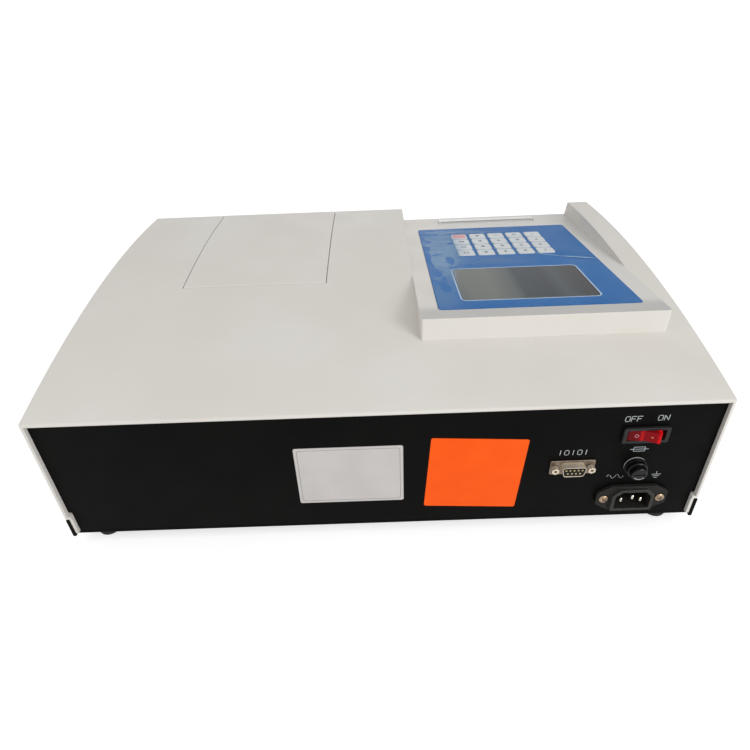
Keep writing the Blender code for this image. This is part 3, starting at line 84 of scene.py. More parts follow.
def perSize(millimetres):
    # texture scale for features of this size, as Object coordinates are in metres
    return 1000 / millimetres


def outOf(source):
    # a node stands for its first output
    return getattr(source, "outputs", [source])[0]


def addNode(tree, kind, settings=None, links=None):
    # a node with its settings, where a text set on a socket is a hex colour, and with its links
    node = tree.nodes.new("ShaderNode" + kind)
    for name, value in (settings or {}).items():
        if name == "stops":
            stops = node.color_ramp.elements
            while len(stops) > 1:
                stops.remove(stops[-1])
            stops[0].position, stops[0].color = value[0][0], linear(value[0][1])
            for position, code in value[1:]:
                stops.new(position).color = linear(code)
        elif isinstance(name, str) and name[0].islower():
            setattr(node, name, value)
        else:
            node.inputs[name].default_value = linear(value) if isinstance(value, str) else value
    for name, source in (links or {}).items():
        tree.links.new(outOf(source), node.inputs[name])
    return node


def makeFinish(name, tones, rough, patch=40, smear=14, grain=0.8, lift=0.02, strength=0.5, metal=0.0, ior=1.5,
               shine=0.5, edge=0.0, edgeTone=None, sockets=None):
    # tones: two hex values, in patches of patch mm; rough: lowest and highest, in smears of smear mm;
    # grain: size of the bumps and lift: their depth in mm, strength: how much of it shows; shine: specular
    # level; edge: mm that sharp edges look softened by, edgeTone: the tone of a painted highlight mixed in along
    # them; sockets: other fixed values
    material = bpy.data.materials.new(name)
    material.use_nodes = True
    tree = material.node_tree
    tree.nodes.clear()
    place = addNode(tree, "TexCoord").outputs["Object"]
    # a noise seldom leaves the middle third of its range, which is spread over the whole
    cloud = addNode(tree, "TexNoise", {"Scale": perSize(patch), "Detail": 4.0}, {"Vector": place})
    spread = addNode(tree, "MapRange", {"From Min": 0.36, "From Max": 0.64}, {"Value": cloud})
    tone = addNode(tree, "Mix", {"data_type": "RGBA", 6: tones[0], 7: tones[1]}, {0: spread}).outputs[2]
    drift = addNode(tree, "TexNoise", {"Scale": perSize(smear), "Detail": 3.0}, {"Vector": place})
    gloss = addNode(tree, "MapRange", {"From Min": 0.35, "From Max": 0.65, "To Min": rough[0],
                                       "To Max": rough[1]}, {"Value": drift})
    grains = addNode(tree, "TexNoise", {"Scale": perSize(grain), "Detail": 2.0}, {"Vector": place})
    bump = addNode(tree, "Bump", {"Strength": strength, "Distance": lift * mm}, {"Height": grains})
    if edge:
        soft = addNode(tree, "Bevel", {"samples": 4, "Radius": edge * mm})
        tree.links.new(soft.outputs[0], bump.inputs["Normal"])
    # painted highlight: edges turn towards edgeTone wherever the rounded normal leaves the face's own, whatever
    # the light
    if edgeTone:
        facing = addNode(tree, "VectorMath", {"operation": "DOT_PRODUCT"},
                         {0: soft, 1: addNode(tree, "NewGeometry").outputs["Normal"]})
        turned = addNode(tree, "MapRange", {"From Min": 0.995, "From Max": 0.86},
                         {"Value": facing.outputs["Value"]})
        tone = addNode(tree, "Mix", {"data_type": "RGBA", 7: edgeTone}, {0: turned, 6: tone}).outputs[2]
    fixed = {"Metallic": metal, "IOR": ior, "Specular IOR Level": shine, **(sockets or {})}
    shader = addNode(tree, "BsdfPrincipled", fixed, {"Base Color": tone, "Roughness": gloss, "Normal": bump})
    addNode(tree, "OutputMaterial", None, {"Surface": shader})
    return {"material": material, "tree": tree, "place": place, "tone": tone, "grains": grains, "bump": bump,
            "shader": shader}


def lead(source, finish, kind, socket):
    # a pattern's output, led to a socket of the finish's shader or bump
    finish["tree"].links.new(outOf(source), finish[kind].inputs[socket])


# Shapes

def meshOf(shape, name):
    mesh = bpy.data.meshes.new(name)
    shape.to_mesh(mesh)
    shape.free()
    return mesh


def inScene(name, data):
    item = bpy.data.objects.new(name, data)
    bpy.context.scene.collection.objects.link(item)
    return item


def shapeOf(item, *tools):
    # the shape that an object's text or modifiers give, after which it and its tools go
    bpy.context.view_layer.update()
    mesh = bpy.data.meshes.new_from_object(item.evaluated_get(bpy.context.evaluated_depsgraph_get()))
    shape = bmesh.new()
    shape.from_mesh(mesh)
    for used in (item, *tools):
        bpy.data.objects.remove(used)
    bpy.data.meshes.remove(mesh)
    return shape


def finishPiece(shape, name, finish, body, place=None, edge=0.0, angle=34, sheet=False, second=None):
    if place is not None:
        bmesh.ops.transform(shape, matrix=place, verts=shape.verts)
    if not sheet:
        bmesh.ops.recalc_face_normals(shape, faces=shape.faces)
    mesh = meshOf(shape, name)
    if "custom_normal" in mesh.attributes:
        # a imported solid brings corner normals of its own, which would undo the shading by angle
        mesh.attributes.remove(mesh.attributes["custom_normal"])
    for look in (finish, second) if second else (finish,):
        mesh.materials.append(look["material"])
    mesh.shade_smooth()
    mesh.set_sharp_from_angle(angle=math.radians(angle))
    piece = inScene(name, mesh)
    if edge:
        bevel = piece.modifiers.new("soft edges", "BEVEL")
        bevel.width = edge
        bevel.segments = 2
        bevel.limit_method = "ANGLE"
        bevel.angle_limit = math.radians(angle)
        bevel.harden_normals = True
    else:
        even = piece.modifiers.new("even normals", "WEIGHTED_NORMAL")
        even.keep_sharp = True
    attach(piece, body)
    return piece


def nodeShape(node):
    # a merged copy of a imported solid, with its flat faces whole again
    shape = bmesh.new()
    shape.from_mesh(nodes[node].data)
    bmesh.ops.remove_doubles(shape, verts=shape.verts, dist=1e-6)
    bmesh.ops.dissolve_limit(shape, angle_limit=math.radians(0.4), verts=shape.verts, edges=shape.edges)
    return shape


def dressNode(node, finish, edge=0.0, angle=34, change=None, second=None, secondBelow=0.0):
    # change moves each point; faces nearer the front than secondBelow take the second finish
    shape = nodeShape(node)
    if change:
        for v in shape.verts:
            change(v.co)
    if second:
        for face in shape.faces:
            face.material_index = int(face.calc_center_median().y < secondBelow)
    piece = finishPiece(shape, node + "_dressed", finish, bodyOf[node], None, edge, angle,
                        second=second)
    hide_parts(node)


def roundedFace(width, height, radius, steps=5):
    shape = bmesh.new()
    bmesh.ops.create_grid(shape, x_segments=1, y_segments=1, size=0.5)
    bmesh.ops.scale(shape, vec=(width, height, 1), verts=shape.verts)
    bmesh.ops.bevel(shape, geom=shape.verts[:], affect="VERTICES", offset=radius, segments=steps, profile=0.5,
                    material=-1)
    return shape


def roundFace(radius, steps):
    shape = bmesh.new()
    bmesh.ops.create_circle(shape, cap_ends=True, segments=steps, radius=radius)
    return shape


def raiseFaces(shape, thickness):
    grown = bmesh.ops.extrude_face_region(shape, geom=shape.faces[:])["geom"]
    top = [part for part in grown if isinstance(part, bmesh.types.BMVert)]
    bmesh.ops.translate(shape, vec=(0, 0, thickness), verts=top)
    return shape


def ringOf(shape, line, thickness):
    # only a line along the edge of a flat face is kept
    inner = shape.faces[:]
    bmesh.ops.inset_region(shape, faces=inner, thickness=line, use_boundary=True, use_even_offset=True)
    bmesh.ops.delete(shape, geom=inner, context="FACES")
    return raiseFaces(shape, thickness)


def textShape(words, height, thickness):
    # lettering cut to this height, middle at the origin, lying on z = 0
    curve = bpy.data.curves.new("words", "FONT")
    curve.body = words
    curve.extrude = 0.01
    curve.resolution_u = 3
    shape = shapeOf(inScene("words", curve))
    bmesh.ops.remove_doubles(shape, verts=shape.verts, dist=1e-5)
    low, high = [Vector([end(v.co[i] for v in shape.verts) for i in range(3)]) for end in (min, max)]
    size = height / (high.y - low.y)
    bmesh.ops.translate(shape, vec=(-(low.x + high.x) / 2, -(low.y + high.y) / 2, -low.z), verts=shape.verts)
    bmesh.ops.scale(shape, vec=(size, size, thickness / (high.z - low.z)), verts=shape.verts)
    return shape


def joinShapes(shapes):
    whole = bmesh.new()
    for shape in shapes:
        mesh = meshOf(shape, "part")
        whole.from_mesh(mesh)
        bpy.data.meshes.remove(mesh)
    return whole


def moved(shape, across, along, turn=0.0):
    bmesh.ops.transform(shape, matrix=Matrix.Translation((across, along, 0)) @ Matrix.Rotation(turn, 4, "Z"),
                        verts=shape.verts)
    return shape


def barShape(width, height, thickness, radius=None):
    return raiseFaces(roundedFace(width, height, radius or min(width, height) * 0.3, 3), thickness)


def strokeShape(paths, line, thickness):
    # round-cornered bars along each path of points, as a plotter's pen would draw it
    bars = []
    for path in paths:
        for (x1, y1), (x2, y2) in zip(path, path[1:]):
            run = Vector((x2 - x1, y2 - y1))
            bar = barShape(run.length + line, line, thickness, line * 0.45)
            bars.append(moved(bar, (x1 + x2) / 2, (y1 + y2) / 2, math.atan2(run.y, run.x)))
    return joinShapes(bars)


def turnedShape(profile, steps):
    # a turned solid from (radius, height) points, about z
    shape = bmesh.new()
    points = [shape.verts.new((radius, 0, height)) for radius, height in profile]
    for a, b in zip(points, points[1:]):
        shape.edges.new((a, b))
    bmesh.ops.spin(shape, geom=shape.verts[:] + shape.edges[:], cent=(0, 0, 0), axis=(0, 0, 1), dvec=(0, 0, 0),
                   angle=math.tau, steps=steps, use_merge=True)
    bmesh.ops.remove_doubles(shape, verts=shape.verts, dist=1e-7)
    return shape


# Finishes

print("finishes")

# injection moulded ABS with a fine spark-eroded texture: soft, even sheen, no mirror
coverPlastic = makeFinish(
    "moulded_abs_warm_white", ("#DCD8D1", "#E0DDD7"), (0.50, 0.60), patch=90, smear=30, grain=0.9, lift=0.012,
    strength=0.35, edge=0.8, ior=1.50, shine=0.25)

# steel sheet in black powder coat: faint orange peel that breaks up the sheen
coatedSteel = makeFinish(
    "powder_coated_steel_black", ("#080808", "#0B0B0A"), (0.42, 0.55), patch=60, smear=22, grain=1.3, lift=0.03,
    strength=0.6, ior=1.48, shine=0.04)

# moulded nitrile rubber: dull, slightly dusty on its skin
footRubber = makeFinish(
    "moulded_rubber_black", ("#161616", "#242322"), (0.72, 0.88), patch=5, grain=0.5, lift=0.03, shine=0.3)

# hot-dip galvanised steel: 9 mm crystals of slightly different gloss and tone
zincSteel = makeFinish(
    "galvanised_steel", ("#A9ACAE", "#B8BBBC"), (0.30, 0.42), patch=20, grain=1.5, lift=0.01, metal=1.0)
tree = zincSteel["tree"]
spangle = addNode(tree, "TexVoronoi", {"Scale": perSize(9)}, {"Vector": zincSteel["place"]})
lead(addNode(tree, "MapRange", {"To Min": 0.24, "To Max": 0.50}, {"Value": spangle.outputs["Color"]}),
     zincSteel, "shader", "Roughness")


def latheLines(finish, centre, turn, pitch, depth):
    # tool marks of a turned piece: fine rings round its axis, on its faces and along its sides (mm, degrees)
    tree = finish["tree"]
    own = addNode(tree, "Mapping", {"vector_type": "TEXTURE", "Location": [c * mm for c in centre],
                                    "Rotation": [math.radians(t) for t in turn]}, {"Vector": finish["place"]})
    parts = addNode(tree, "SeparateXYZ", None, {0: own})
    flat = addNode(tree, "CombineXYZ", None, {"X": parts.outputs["X"], "Y": parts.outputs["Y"]})
    reach = addNode(tree, "VectorMath", {"operation": "LENGTH"}, {0: flat})
    marks = addNode(tree, "CombineXYZ", None, {"X": reach.outputs["Value"], "Y": parts.outputs["Z"]})
    lead(addNode(tree, "TexNoise", {"Scale": perSize(pitch), "Detail": 3.0}, {"Vector": marks}),
         finish, "bump", "Height")
    finish["bump"].inputs["Distance"].default_value = depth * mm
    return finish


# turned aluminium alloy, bright, with lathe rings that stretch the highlights
locatorAluminium = latheLines(
    makeFinish("turned_aluminium_ring", ("#C6C8CB", "#D3D5D7"), (0.22, 0.32), patch=14, metal=1.0),
    centre=(97.75, -65.35, 0), turn=(0, 0, 0), pitch=0.35, depth=0.02)
detectorAluminium = latheLines(
    makeFinish("turned_aluminium_can", ("#BFC2C6", "#CFD1D4"), (0.24, 0.34), patch=14, metal=1.0),
    centre=(69.9, -65.35, 61.9), turn=(0, 45, 0), pitch=0.35, depth=0.02)

# turned stainless steel: darker and warmer than the aluminium, with the same stretched highlights
tubeSteel = latheLines(
    makeFinish("turned_stainless_steel", ("#9C9A97", "#B1AFAB"), (0.26, 0.36), patch=18, metal=1.0),
    centre=(130.0, -65.35, 57.5), turn=(0, -45, 0), pitch=0.4, depth=0.02)

# natural polyethylene, moulded thin: milky, lets light into its wall
cupPlastic = makeFinish(
    "moulded_polyethylene_milky", ("#E9EAE6", "#F1F1EE"), (0.28, 0.38), patch=15, lift=0.01, ior=1.51,
    sockets={"Subsurface Weight": 0.35, "Subsurface Scale": 0.004})

# free-cutting brass, milled: warm yellow, with the cutter's parallel passes as soft waves about 18 mm wide
headBrass = makeFinish("milled_brass", ("#B9923F", "#CCA857"), (0.25, 0.36), patch=25, metal=1.0, lift=0.03)
cutter = addNode(headBrass["tree"], "TexWave", {"wave_type": "BANDS", "bands_direction": "X", "Distortion": 1.2,
                                                "Scale": perSize(9) / math.tau}, {"Vector": headBrass["place"]})
lead(cutter.outputs[1], headBrass, "bump", "Height")

# pressed steel can in grey hammer paint: small shallow dimples
greySteel = makeFinish(
    "hammer_painted_steel_grey", ("#8A8E90", "#979B9D"), (0.30, 0.42), patch=30, grain=2.2, lift=0.12)

# polyester tape wound round the toroid: overlapping radial laps, amber over copper
windingTape = makeFinish(
    "wound_polyester_tape", ("#B98A3A", "#C99B4C"), (0.22, 0.34), patch=10, grain=2, lift=0.15,
    sockets={"Coat Weight": 0.5, "Coat Roughness": 0.12})
tapeLaps = {"hub": (-118 * mm, 100 * mm, 0), "count": 42.0}
tree = windingTape["tree"]
hub = addNode(tree, "Mapping", {"vector_type": "TEXTURE", "Location": tapeLaps["hub"]},
              {"Vector": windingTape["place"]})
around = addNode(tree, "TexGradient", {"gradient_type": "RADIAL"}, {"Vector": hub})
laps = addNode(tree, "Math", {"operation": "MULTIPLY", 1: tapeLaps["count"]}, {0: around.outputs[1]})
lap = addNode(tree, "Math", {"operation": "FRACT"}, {0: laps})
lead(addNode(tree, "ValToRGB", {"stops": [(0.0, "#8E5A22"), (0.12, "#B98A3A"), (1.0, "#D2A75C")]}, {0: lap}),
     windingTape, "shader", "Base Color")
lead(lap, windingTape, "bump", "Height")

# printed circuit board: green solder mask over copper runs, with dull black chips standing on it
board = makeFinish(
    "solder_masked_board", ("#1C5A36", "#236A41"), (0.28, 0.40), patch=12, grain=1.0,
    sockets={"Coat Weight": 0.3, "Coat Roughness": 0.2})
chips = {"from": 22.6 * mm, "to": 60 * mm, "tone": "#1B1C1E"}  # what stands at these heights is a chip
tree = board["tree"]
runs = addNode(tree, "TexBrick", {"Scale": perSize(18), "Color1": (0, 0, 0, 1), "Color2": (0, 0, 0, 1),
                                  "Mortar": (1, 1, 1, 1), "Mortar Size": 0.03, "offset": 0.35},
               {"Vector": board["place"]})
copperRuns = addNode(tree, "Mix", {"data_type": "RGBA", 7: "#3E8A55"}, {0: runs, 6: board["tone"]})
tall = addNode(tree, "SeparateXYZ", None, {0: board["place"]})
aboveBoard = addNode(tree, "Math", {"operation": "GREATER_THAN", 1: chips["from"]}, {0: tall.outputs["Z"]})
belowConsole = addNode(tree, "Math", {"operation": "LESS_THAN", 1: chips["to"]}, {0: tall.outputs["Z"]})
isChip = addNode(tree, "Math", {"operation": "MULTIPLY"}, {0: aboveBoard, 1: belowConsole})
chipped = addNode(tree, "Mix", {"data_type": "RGBA", 7: chips["tone"]}, {0: isChip, 6: copperRuns.outputs[2]})
lead(chipped.outputs[2], board, "shader", "Base Color")

# screen-printed polyester overlay: even process blue under a fine velvet texture
overlayFilm = makeFinish(
    "printed_polyester_blue", ("#1B66AA", "#1F6BB0"), (0.34, 0.44), patch=45, smear=25, grain=0.6, lift=0.01,
    strength=0.4, ior=1.57, shine=0.06)

# two-shot moulded ABS key tops: cool white, slightly polished by fingers
keyPlastic = makeFinish(
    "moulded_abs_cool_white", ("#CFD3D4", "#D7DADA"), (0.30, 0.42), patch=8, grain=0.5, lift=0.01, ior=1.50)

# pad-printed inks: matt, a touch uneven at this size, the red as glossy as the key under it
blackInk = makeFinish(
    "pad_printed_ink_black", ("#3A3E44", "#4A4E54"), (0.5, 0.65), patch=1.5, grain=0.3, lift=0.01)
redInk = makeFinish("pad_printed_ink_red", ("#D98884", "#E29590"), (0.35, 0.45), patch=4, grain=0.3, lift=0.01)
whiteInk = makeFinish(
    "pad_printed_ink_white", ("#DCDCDA", "#E8E8E6"), (0.45, 0.6), patch=2, grain=0.3, lift=0.01)

# screen-printed inks: flat and matt on the powder coat, smoother on the overlay's film
greyInk = makeFinish(
    "screen_printed_ink_light_grey", ("#C2C8CA", "#CFD5D7"), (0.5, 0.62), patch=2, grain=0.3, lift=0.01)
lineInk = makeFinish(
    "screen_printed_ink_pale_blue", ("#B6C9DA", "#C4D5E3"), (0.32, 0.42), patch=6, grain=0.4, lift=0.01)

# clear acrylic over an unlit liquid crystal panel: dark grey and glossy, with a painted reflection that grows
# lighter towards +X
displayPane = makeFinish(
    "acrylic_over_liquid_crystal", ("#3E4347", "#44494D"), (0.10, 0.16), patch=60, smear=40, grain=3,
    lift=0.004, strength=0.3, ior=1.49, shine=0.1)
# the painted reflection's tones along the pane, from its -X end to its +X end
paintedPaneReflection = {"from": -170.4 * mm, "to": -67.2 * mm, "stops": [
    (0.0, "#332E2A"), (0.1, "#2E3438"), (0.22, "#434A4F"), (0.32, "#30373D"), (0.52, "#394147"),
    (0.58, "#5A5F60"), (0.75, "#70746F"), (0.92, "#6C706C"), (1.0, "#5B605F")]}
tree = displayPane["tree"]
paneAcross = addNode(tree, "SeparateXYZ", None, {0: displayPane["place"]})
paneShare = addNode(tree, "MapRange", {"From Min": paintedPaneReflection["from"], "From Max": paintedPaneReflection["to"]},
                    {"Value": paneAcross.outputs["X"]})
lead(addNode(tree, "ValToRGB", {"stops": paintedPaneReflection["stops"]}, {0: paneShare}), displayPane, "shader", "Base Color")

# tinned steel frame of the display module, matt with rolled grain
moduleFrame = makeFinish("tinned_steel", ("#8F9498", "#A0A5A9"), (0.35, 0.48), patch=12, lift=0.01, metal=1.0)

# blanked spring steel of the tear bar's teeth: grey, bright on the cut
toothSteel = makeFinish(
    "blanked_spring_steel", ("#A19F9B", "#B3B1AC"), (0.34, 0.46), patch=4, grain=0.4, lift=0.01, metal=1.0)

# acetal mouldings: dense white and mid grey, waxy
whitePlastic = makeFinish("moulded_acetal_white", ("#ECECE9", "#F2F2F0"), (0.32, 0.42), patch=20, lift=0.01)
greyPlastic = makeFinish("moulded_acetal_grey", ("#6C6F70", "#76797A"), (0.38, 0.50), patch=20, lift=0.015)

# ground rubber sleeve of the platen: dull dark grey
platenRubber = makeFinish("ground_rubber_grey", ("#2E2F30", "#383939"), (0.65, 0.80), patch=6, grain=0.4)

# wound thermal paper: white, with the edges of its layers as fine rings, coarser than real ones to show at all
paper = latheLines(
    makeFinish("wound_thermal_paper", ("#ECECE8", "#F4F4F1"), (0.55, 0.70), patch=10),
    centre=(-121.5, -118.13, 84.4), turn=(0, 90, 0), pitch=0.5, depth=0.06)

# glass-filled nylon: black, satin, with a little fibre at the surface and a painted highlight along its edges
blackNylon = makeFinish(
    "moulded_nylon_black", ("#222223", "#2B2B2C"), (0.36, 0.50), patch=5, grain=0.4, edge=0.4,
    edgeTone="#4A4A49", shine=0.15)

# clear red polycarbonate: glossy and deep red, with a painted highlight at its fold and a painted glow at its
# raised end
rockerRed = makeFinish(
    "moulded_polycarbonate_red", ("#8E0612", "#B20A18"), (0.10, 0.18), patch=9, grain=1.5, lift=0.006,
    ior=1.585, shine=0.05)
# painted light along the rocker, from its left end to its raised end: a painted highlight at the fold and a
# painted glow at the end
paintedRockerLight = {"from": -166.6 * mm, "to": -190.4 * mm, "uneven": 0.16, "stops": [
    (0.0, "#9A141B"), (0.10, "#620910"), (0.38, "#6E0912"), (0.47, "#C2181A"), (0.53, "#820B14"),
    (0.84, "#8A0B15"), (0.92, "#F4121A"), (1.0, "#FF2620")]}
tree = rockerRed["tree"]
rockerPlace = addNode(tree, "SeparateXYZ", None, {0: rockerRed["place"]})
rockerShare = addNode(tree, "MapRange", {"From Min": paintedRockerLight["from"], "From Max": paintedRockerLight["to"]},
                      {"Value": rockerPlace.outputs["X"]})
rockerWarp = addNode(tree, "Math", {"operation": "MULTIPLY_ADD", 1: paintedRockerLight["uneven"]},
                     {0: rockerRed["grains"], 2: rockerShare})
lead(addNode(tree, "ValToRGB", {"stops": paintedRockerLight["stops"]}, {0: rockerWarp}), rockerRed, "shader", "Base Color")

# phenolic moulding: black, fairly glossy, faint turned rings from its polished mould
blackPhenolic = latheLines(
    makeFinish("moulded_phenolic_black", ("#0B0B0C", "#121212"), (0.20, 0.32), patch=5,
               ior=1.60, shine=0.15),
    centre=(places["fuse"][0], places["panelFace"], places["fuse"][1]), turn=(90, 0, 0), pitch=0.6, depth=0.02)

# pressed fibre washer: pale grey, soft edge, matt
washerFibre = makeFinish(
    "pressed_fibre_grey", ("#A6A9AC", "#B7BABC"), (0.62, 0.78), patch=2.5, grain=0.5, lift=0.04)

# drawn glass tube of the fuse with its plated caps: clear and sharply glossy
fuseGlass = makeFinish(
    "drawn_glass", ("#D3DBDA", "#DDE4E3"), (0.03, 0.07), patch=6, grain=2, lift=0.004, ior=1.52,
    sockets={"Transmission Weight": 0.7})

# nickel-plated steel, drawn: warm grey metal that takes the colour of the room
nickel = makeFinish(
    "nickel_plated_steel", ("#B5A695", "#C6B9A9"), (0.34, 0.46), patch=6, grain=0.6, lift=0.012, metal=1.0)

# tin plate of the serial connector's flange: the shell's tin in a painted shaded tone, brownish grey, with a
# painted highlight along its edges
shadedFlangeTin = makeFinish(
    "tin_plated_steel_shaded_flange", ("#6E6057", "#8A7B6E"), (0.42, 0.58), patch=3, grain=0.5, metal=1.0, edge=0.35,
    edgeTone="#C9BBAB")

# drawn shell and screws of the serial connector: tin left satin, painted a lit cream for light that falls on it
# from above
shellTin = makeFinish(
    "drawn_tin_plated_steel", ("#CDC1AC", "#DDD2BE"), (0.36, 0.48), patch=4, grain=0.5, lift=0.012, metal=0.5)

# glass-filled polyester of the serial insert: black, satin, its contact holes moulded in
insertBlack = makeFinish(
    "moulded_polyester_black", ("#17181A", "#1E1F22"), (0.40, 0.52), patch=4, grain=0.4, shine=0.1)

# glass-filled polyester of the mains inlet: dark grey, satin, with a painted highlight along its rounded edges
inletBlack = makeFinish(
    "moulded_polyester_charcoal", ("#2C2C2A", "#343431"), (0.40, 0.54), patch=6, grain=0.5, edge=0.5,
    edgeTone="#5E5E5B", shine=0.15)

# the same moulding's flange, from a spark-eroded face of the mould: nearly black and matt, with a painted
# highlight along its edges
inletFlange = makeFinish(
    "moulded_polyester_matt_flange", ("#242321", "#2B2A28"), (0.50, 0.62), patch=6, grain=0.5, lift=0.03,
    edge=0.5, edgeTone="#4A4947", shine=0.08)

# rolled steel screws, zinc plated and yellow passivated: bronze, with hard bright and dark spots
screwBronze = makeFinish(
    "yellow_passivated_steel", ("#8C7762", "#AF9A84"), (0.22, 0.36), patch=1.6, lift=0.03, metal=1.0)

# stamped brass blades, nickel-flashed: bright with fine wipe lines
bladeBrass = makeFinish(
    "flashed_brass", ("#C9C4B8", "#D6D1C6"), (0.16, 0.28), patch=3, grain=0.3, lift=0.01, metal=1.0)

# gold flash on drawn contact sleeves: small warm yellow glints in the dark insert
contactGold = makeFinish(
    "gold_flashed_contact", ("#D9BE7C", "#E6CF94"), (0.18, 0.28), patch=1, grain=0.2, lift=0.005, metal=1.0)

# self-adhesive vinyl, white and orange: smooth with a slight sheen and a faint adhesive ripple
whiteVinyl = makeFinish(
    "self_adhesive_vinyl_white", ("#C2BEBB", "#C8C4C1"), (0.34, 0.44), patch=25, grain=9, lift=0.05,
    strength=0.4)
orangeVinyl = makeFinish(
    "self_adhesive_vinyl_orange", ("#FB5806", "#FF5D0A"), (0.32, 0.42), patch=22, grain=9, lift=0.05,
    strength=0.4, shine=0.15)

# the printed border on the white vinyl: a fine grey line, flat and nearly matt
borderInk = makeFinish("printed_border_grey", ("#7C7B79", "#8A8987"), (0.4, 0.5), patch=5, grain=0.5, lift=0.01)

# lacquer filled into the rocker's engraved marks: pink and straw, fairly glossy, as the red shows through
ringLacquer = makeFinish(
    "filled_lacquer_pink", ("#C98A90", "#D79AA0"), (0.3, 0.4), patch=2, grain=0.4, lift=0.01)
barLacquer = makeFinish(
    "filled_lacquer_straw", ("#E0B070", "#EAC084"), (0.3, 0.4), patch=2, grain=0.4, lift=0.01)


# Cover and lid

print("cover and lid")

# the cover's moulding again, smoother and greyer on the console's face, with painted light: lighter towards +X
# and a painted shade along its rear edge
consoleFace = makeFinish(
    "moulded_abs_console_face", ("#D4D2CE", "#D8D6D2"), (0.34, 0.44), patch=90, smear=30, grain=0.9, lift=0.008,
    strength=0.3, ior=1.50, shine=0.3)
# each painted change of light on the face: along which axis, where it starts and is complete, and to which tone
paintedFaceLight = (("X", -110, -36, "#D8D4CD"), ("Y", 88, 102, "#BFBDBA"))
tree = consoleFace["tree"]
facePlace = addNode(tree, "SeparateXYZ", None, {0: consoleFace["place"]})
paintedFaceTone = consoleFace["tone"]
for axis, start, full, shade in paintedFaceLight:
    faceShare = addNode(tree, "MapRange", {"interpolation_type": "SMOOTHSTEP", "From Min": start * mm,
                                           "From Max": full * mm}, {"Value": facePlace.outputs[axis]})
    paintedFaceTone = addNode(tree, "Mix", {"data_type": "RGBA", 7: shade}, {0: faceShare, 6: paintedFaceTone}).outputs[2]
lead(paintedFaceTone, consoleFace, "shader", "Base Color")

# halfAcross, cornerCast and cornerFoot find the console's upright corners; corner: their radius when drawn in,
# archFall: how the arched top falls there; rimOuter, rimInner, rearStrip and rimAngle find the rim's edges,
# faceHalf and faceLevel the face; near, slack and flush: how exactly a point has to lie there
cover = {"rimRadius": 1.1 * mm, "rimSteps": 3, "halfAcross": 88 * mm, "cornerCast": 5 * mm, "corner": 2.2 * mm,
         "cornerFoot": 126 * mm, "archFall": 0.11, "near": 0.2 * mm, "slack": 0.01 * mm, "flush": 0.3 * mm,
         "rimOuter": 85.5 * mm, "rimInner": 82 * mm, "rearStrip": -2 * mm, "rimAngle": 40,
         "faceHalf": 88.4 * mm, "faceLevel": 0.98}


def drawCorners(shape):
    # the console's upright corners, drawn in towards their points
    drawn = 0
    for v in shape.verts:
        place = consoleInverse @ v.co
        side = math.copysign(1, place.x)
        corner = Vector((consoleFrame.translation.x + side * cover["halfAcross"], consoleFrame.translation.y))
        reach = v.co.xy - corner + Vector((side * cover["cornerCast"], cover["cornerCast"]))
        outside = reach.y > -cover["slack"] and reach.x * side > -cover["slack"]
        if (v.co.z > cover["cornerFoot"] and outside
                and abs(reach.length - cover["cornerCast"]) < cover["near"]):
            shift = (corner - v.co.xy) * (1 - cover["corner"] / cover["cornerCast"])
            rise = math.tan(consoleSlope) if abs(place.z) < cover["flush"] else -cover["archFall"]
            v.co += Vector((*shift, shift.y * rise))
            drawn += 1
    return drawn


def rimEdges(shape):
    # the sharp edges round the console's top, at its sides and at its rear
    rim = []
    for edge in shape.edges:
        if len(edge.link_faces) != 2 or edge.calc_face_angle(0) < math.radians(cover["rimAngle"]):
            continue
        a, b = [consoleInverse @ v.co for v in edge.verts]
        outer = max(abs(a.x), abs(b.x)) > cover["rimOuter"] and min(abs(a.x), abs(b.x)) > cover["rimInner"]
        rear = min(a.y, b.y) > cover["rearStrip"]
        if max(abs(a.z), abs(b.z)) < cover["flush"] and (outer or rear):
            rim.append(edge)
    return rim


def coverPiece():
    shape = nodeShape("top_cover")
    drawn = drawCorners(shape)
    rim = rimEdges(shape)
    print("console corner points", drawn, "console edges", len(rim))
    bmesh.ops.bevel(shape, geom=rim, affect="EDGES", offset=cover["rimRadius"], segments=cover["rimSteps"],
                    profile=0.5, material=-1, clamp_overlap=True, loop_slide=True)
    for face in shape.faces:
        middle = consoleInverse @ face.calc_center_median()
        onFace = abs(middle.z) < cover["flush"] and abs(middle.x) < cover["faceHalf"]
        face.material_index = int(onFace and face.normal.z > cover["faceLevel"])
    piece = finishPiece(shape, "cover_shell", coverPlastic, "housing", angle=30,
                        second=consoleFace)
    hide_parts("top_cover")


coverPiece()
dressNode("sample_lid", coverPlastic, angle=30)

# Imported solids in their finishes, with the mm that their edges are rounded by

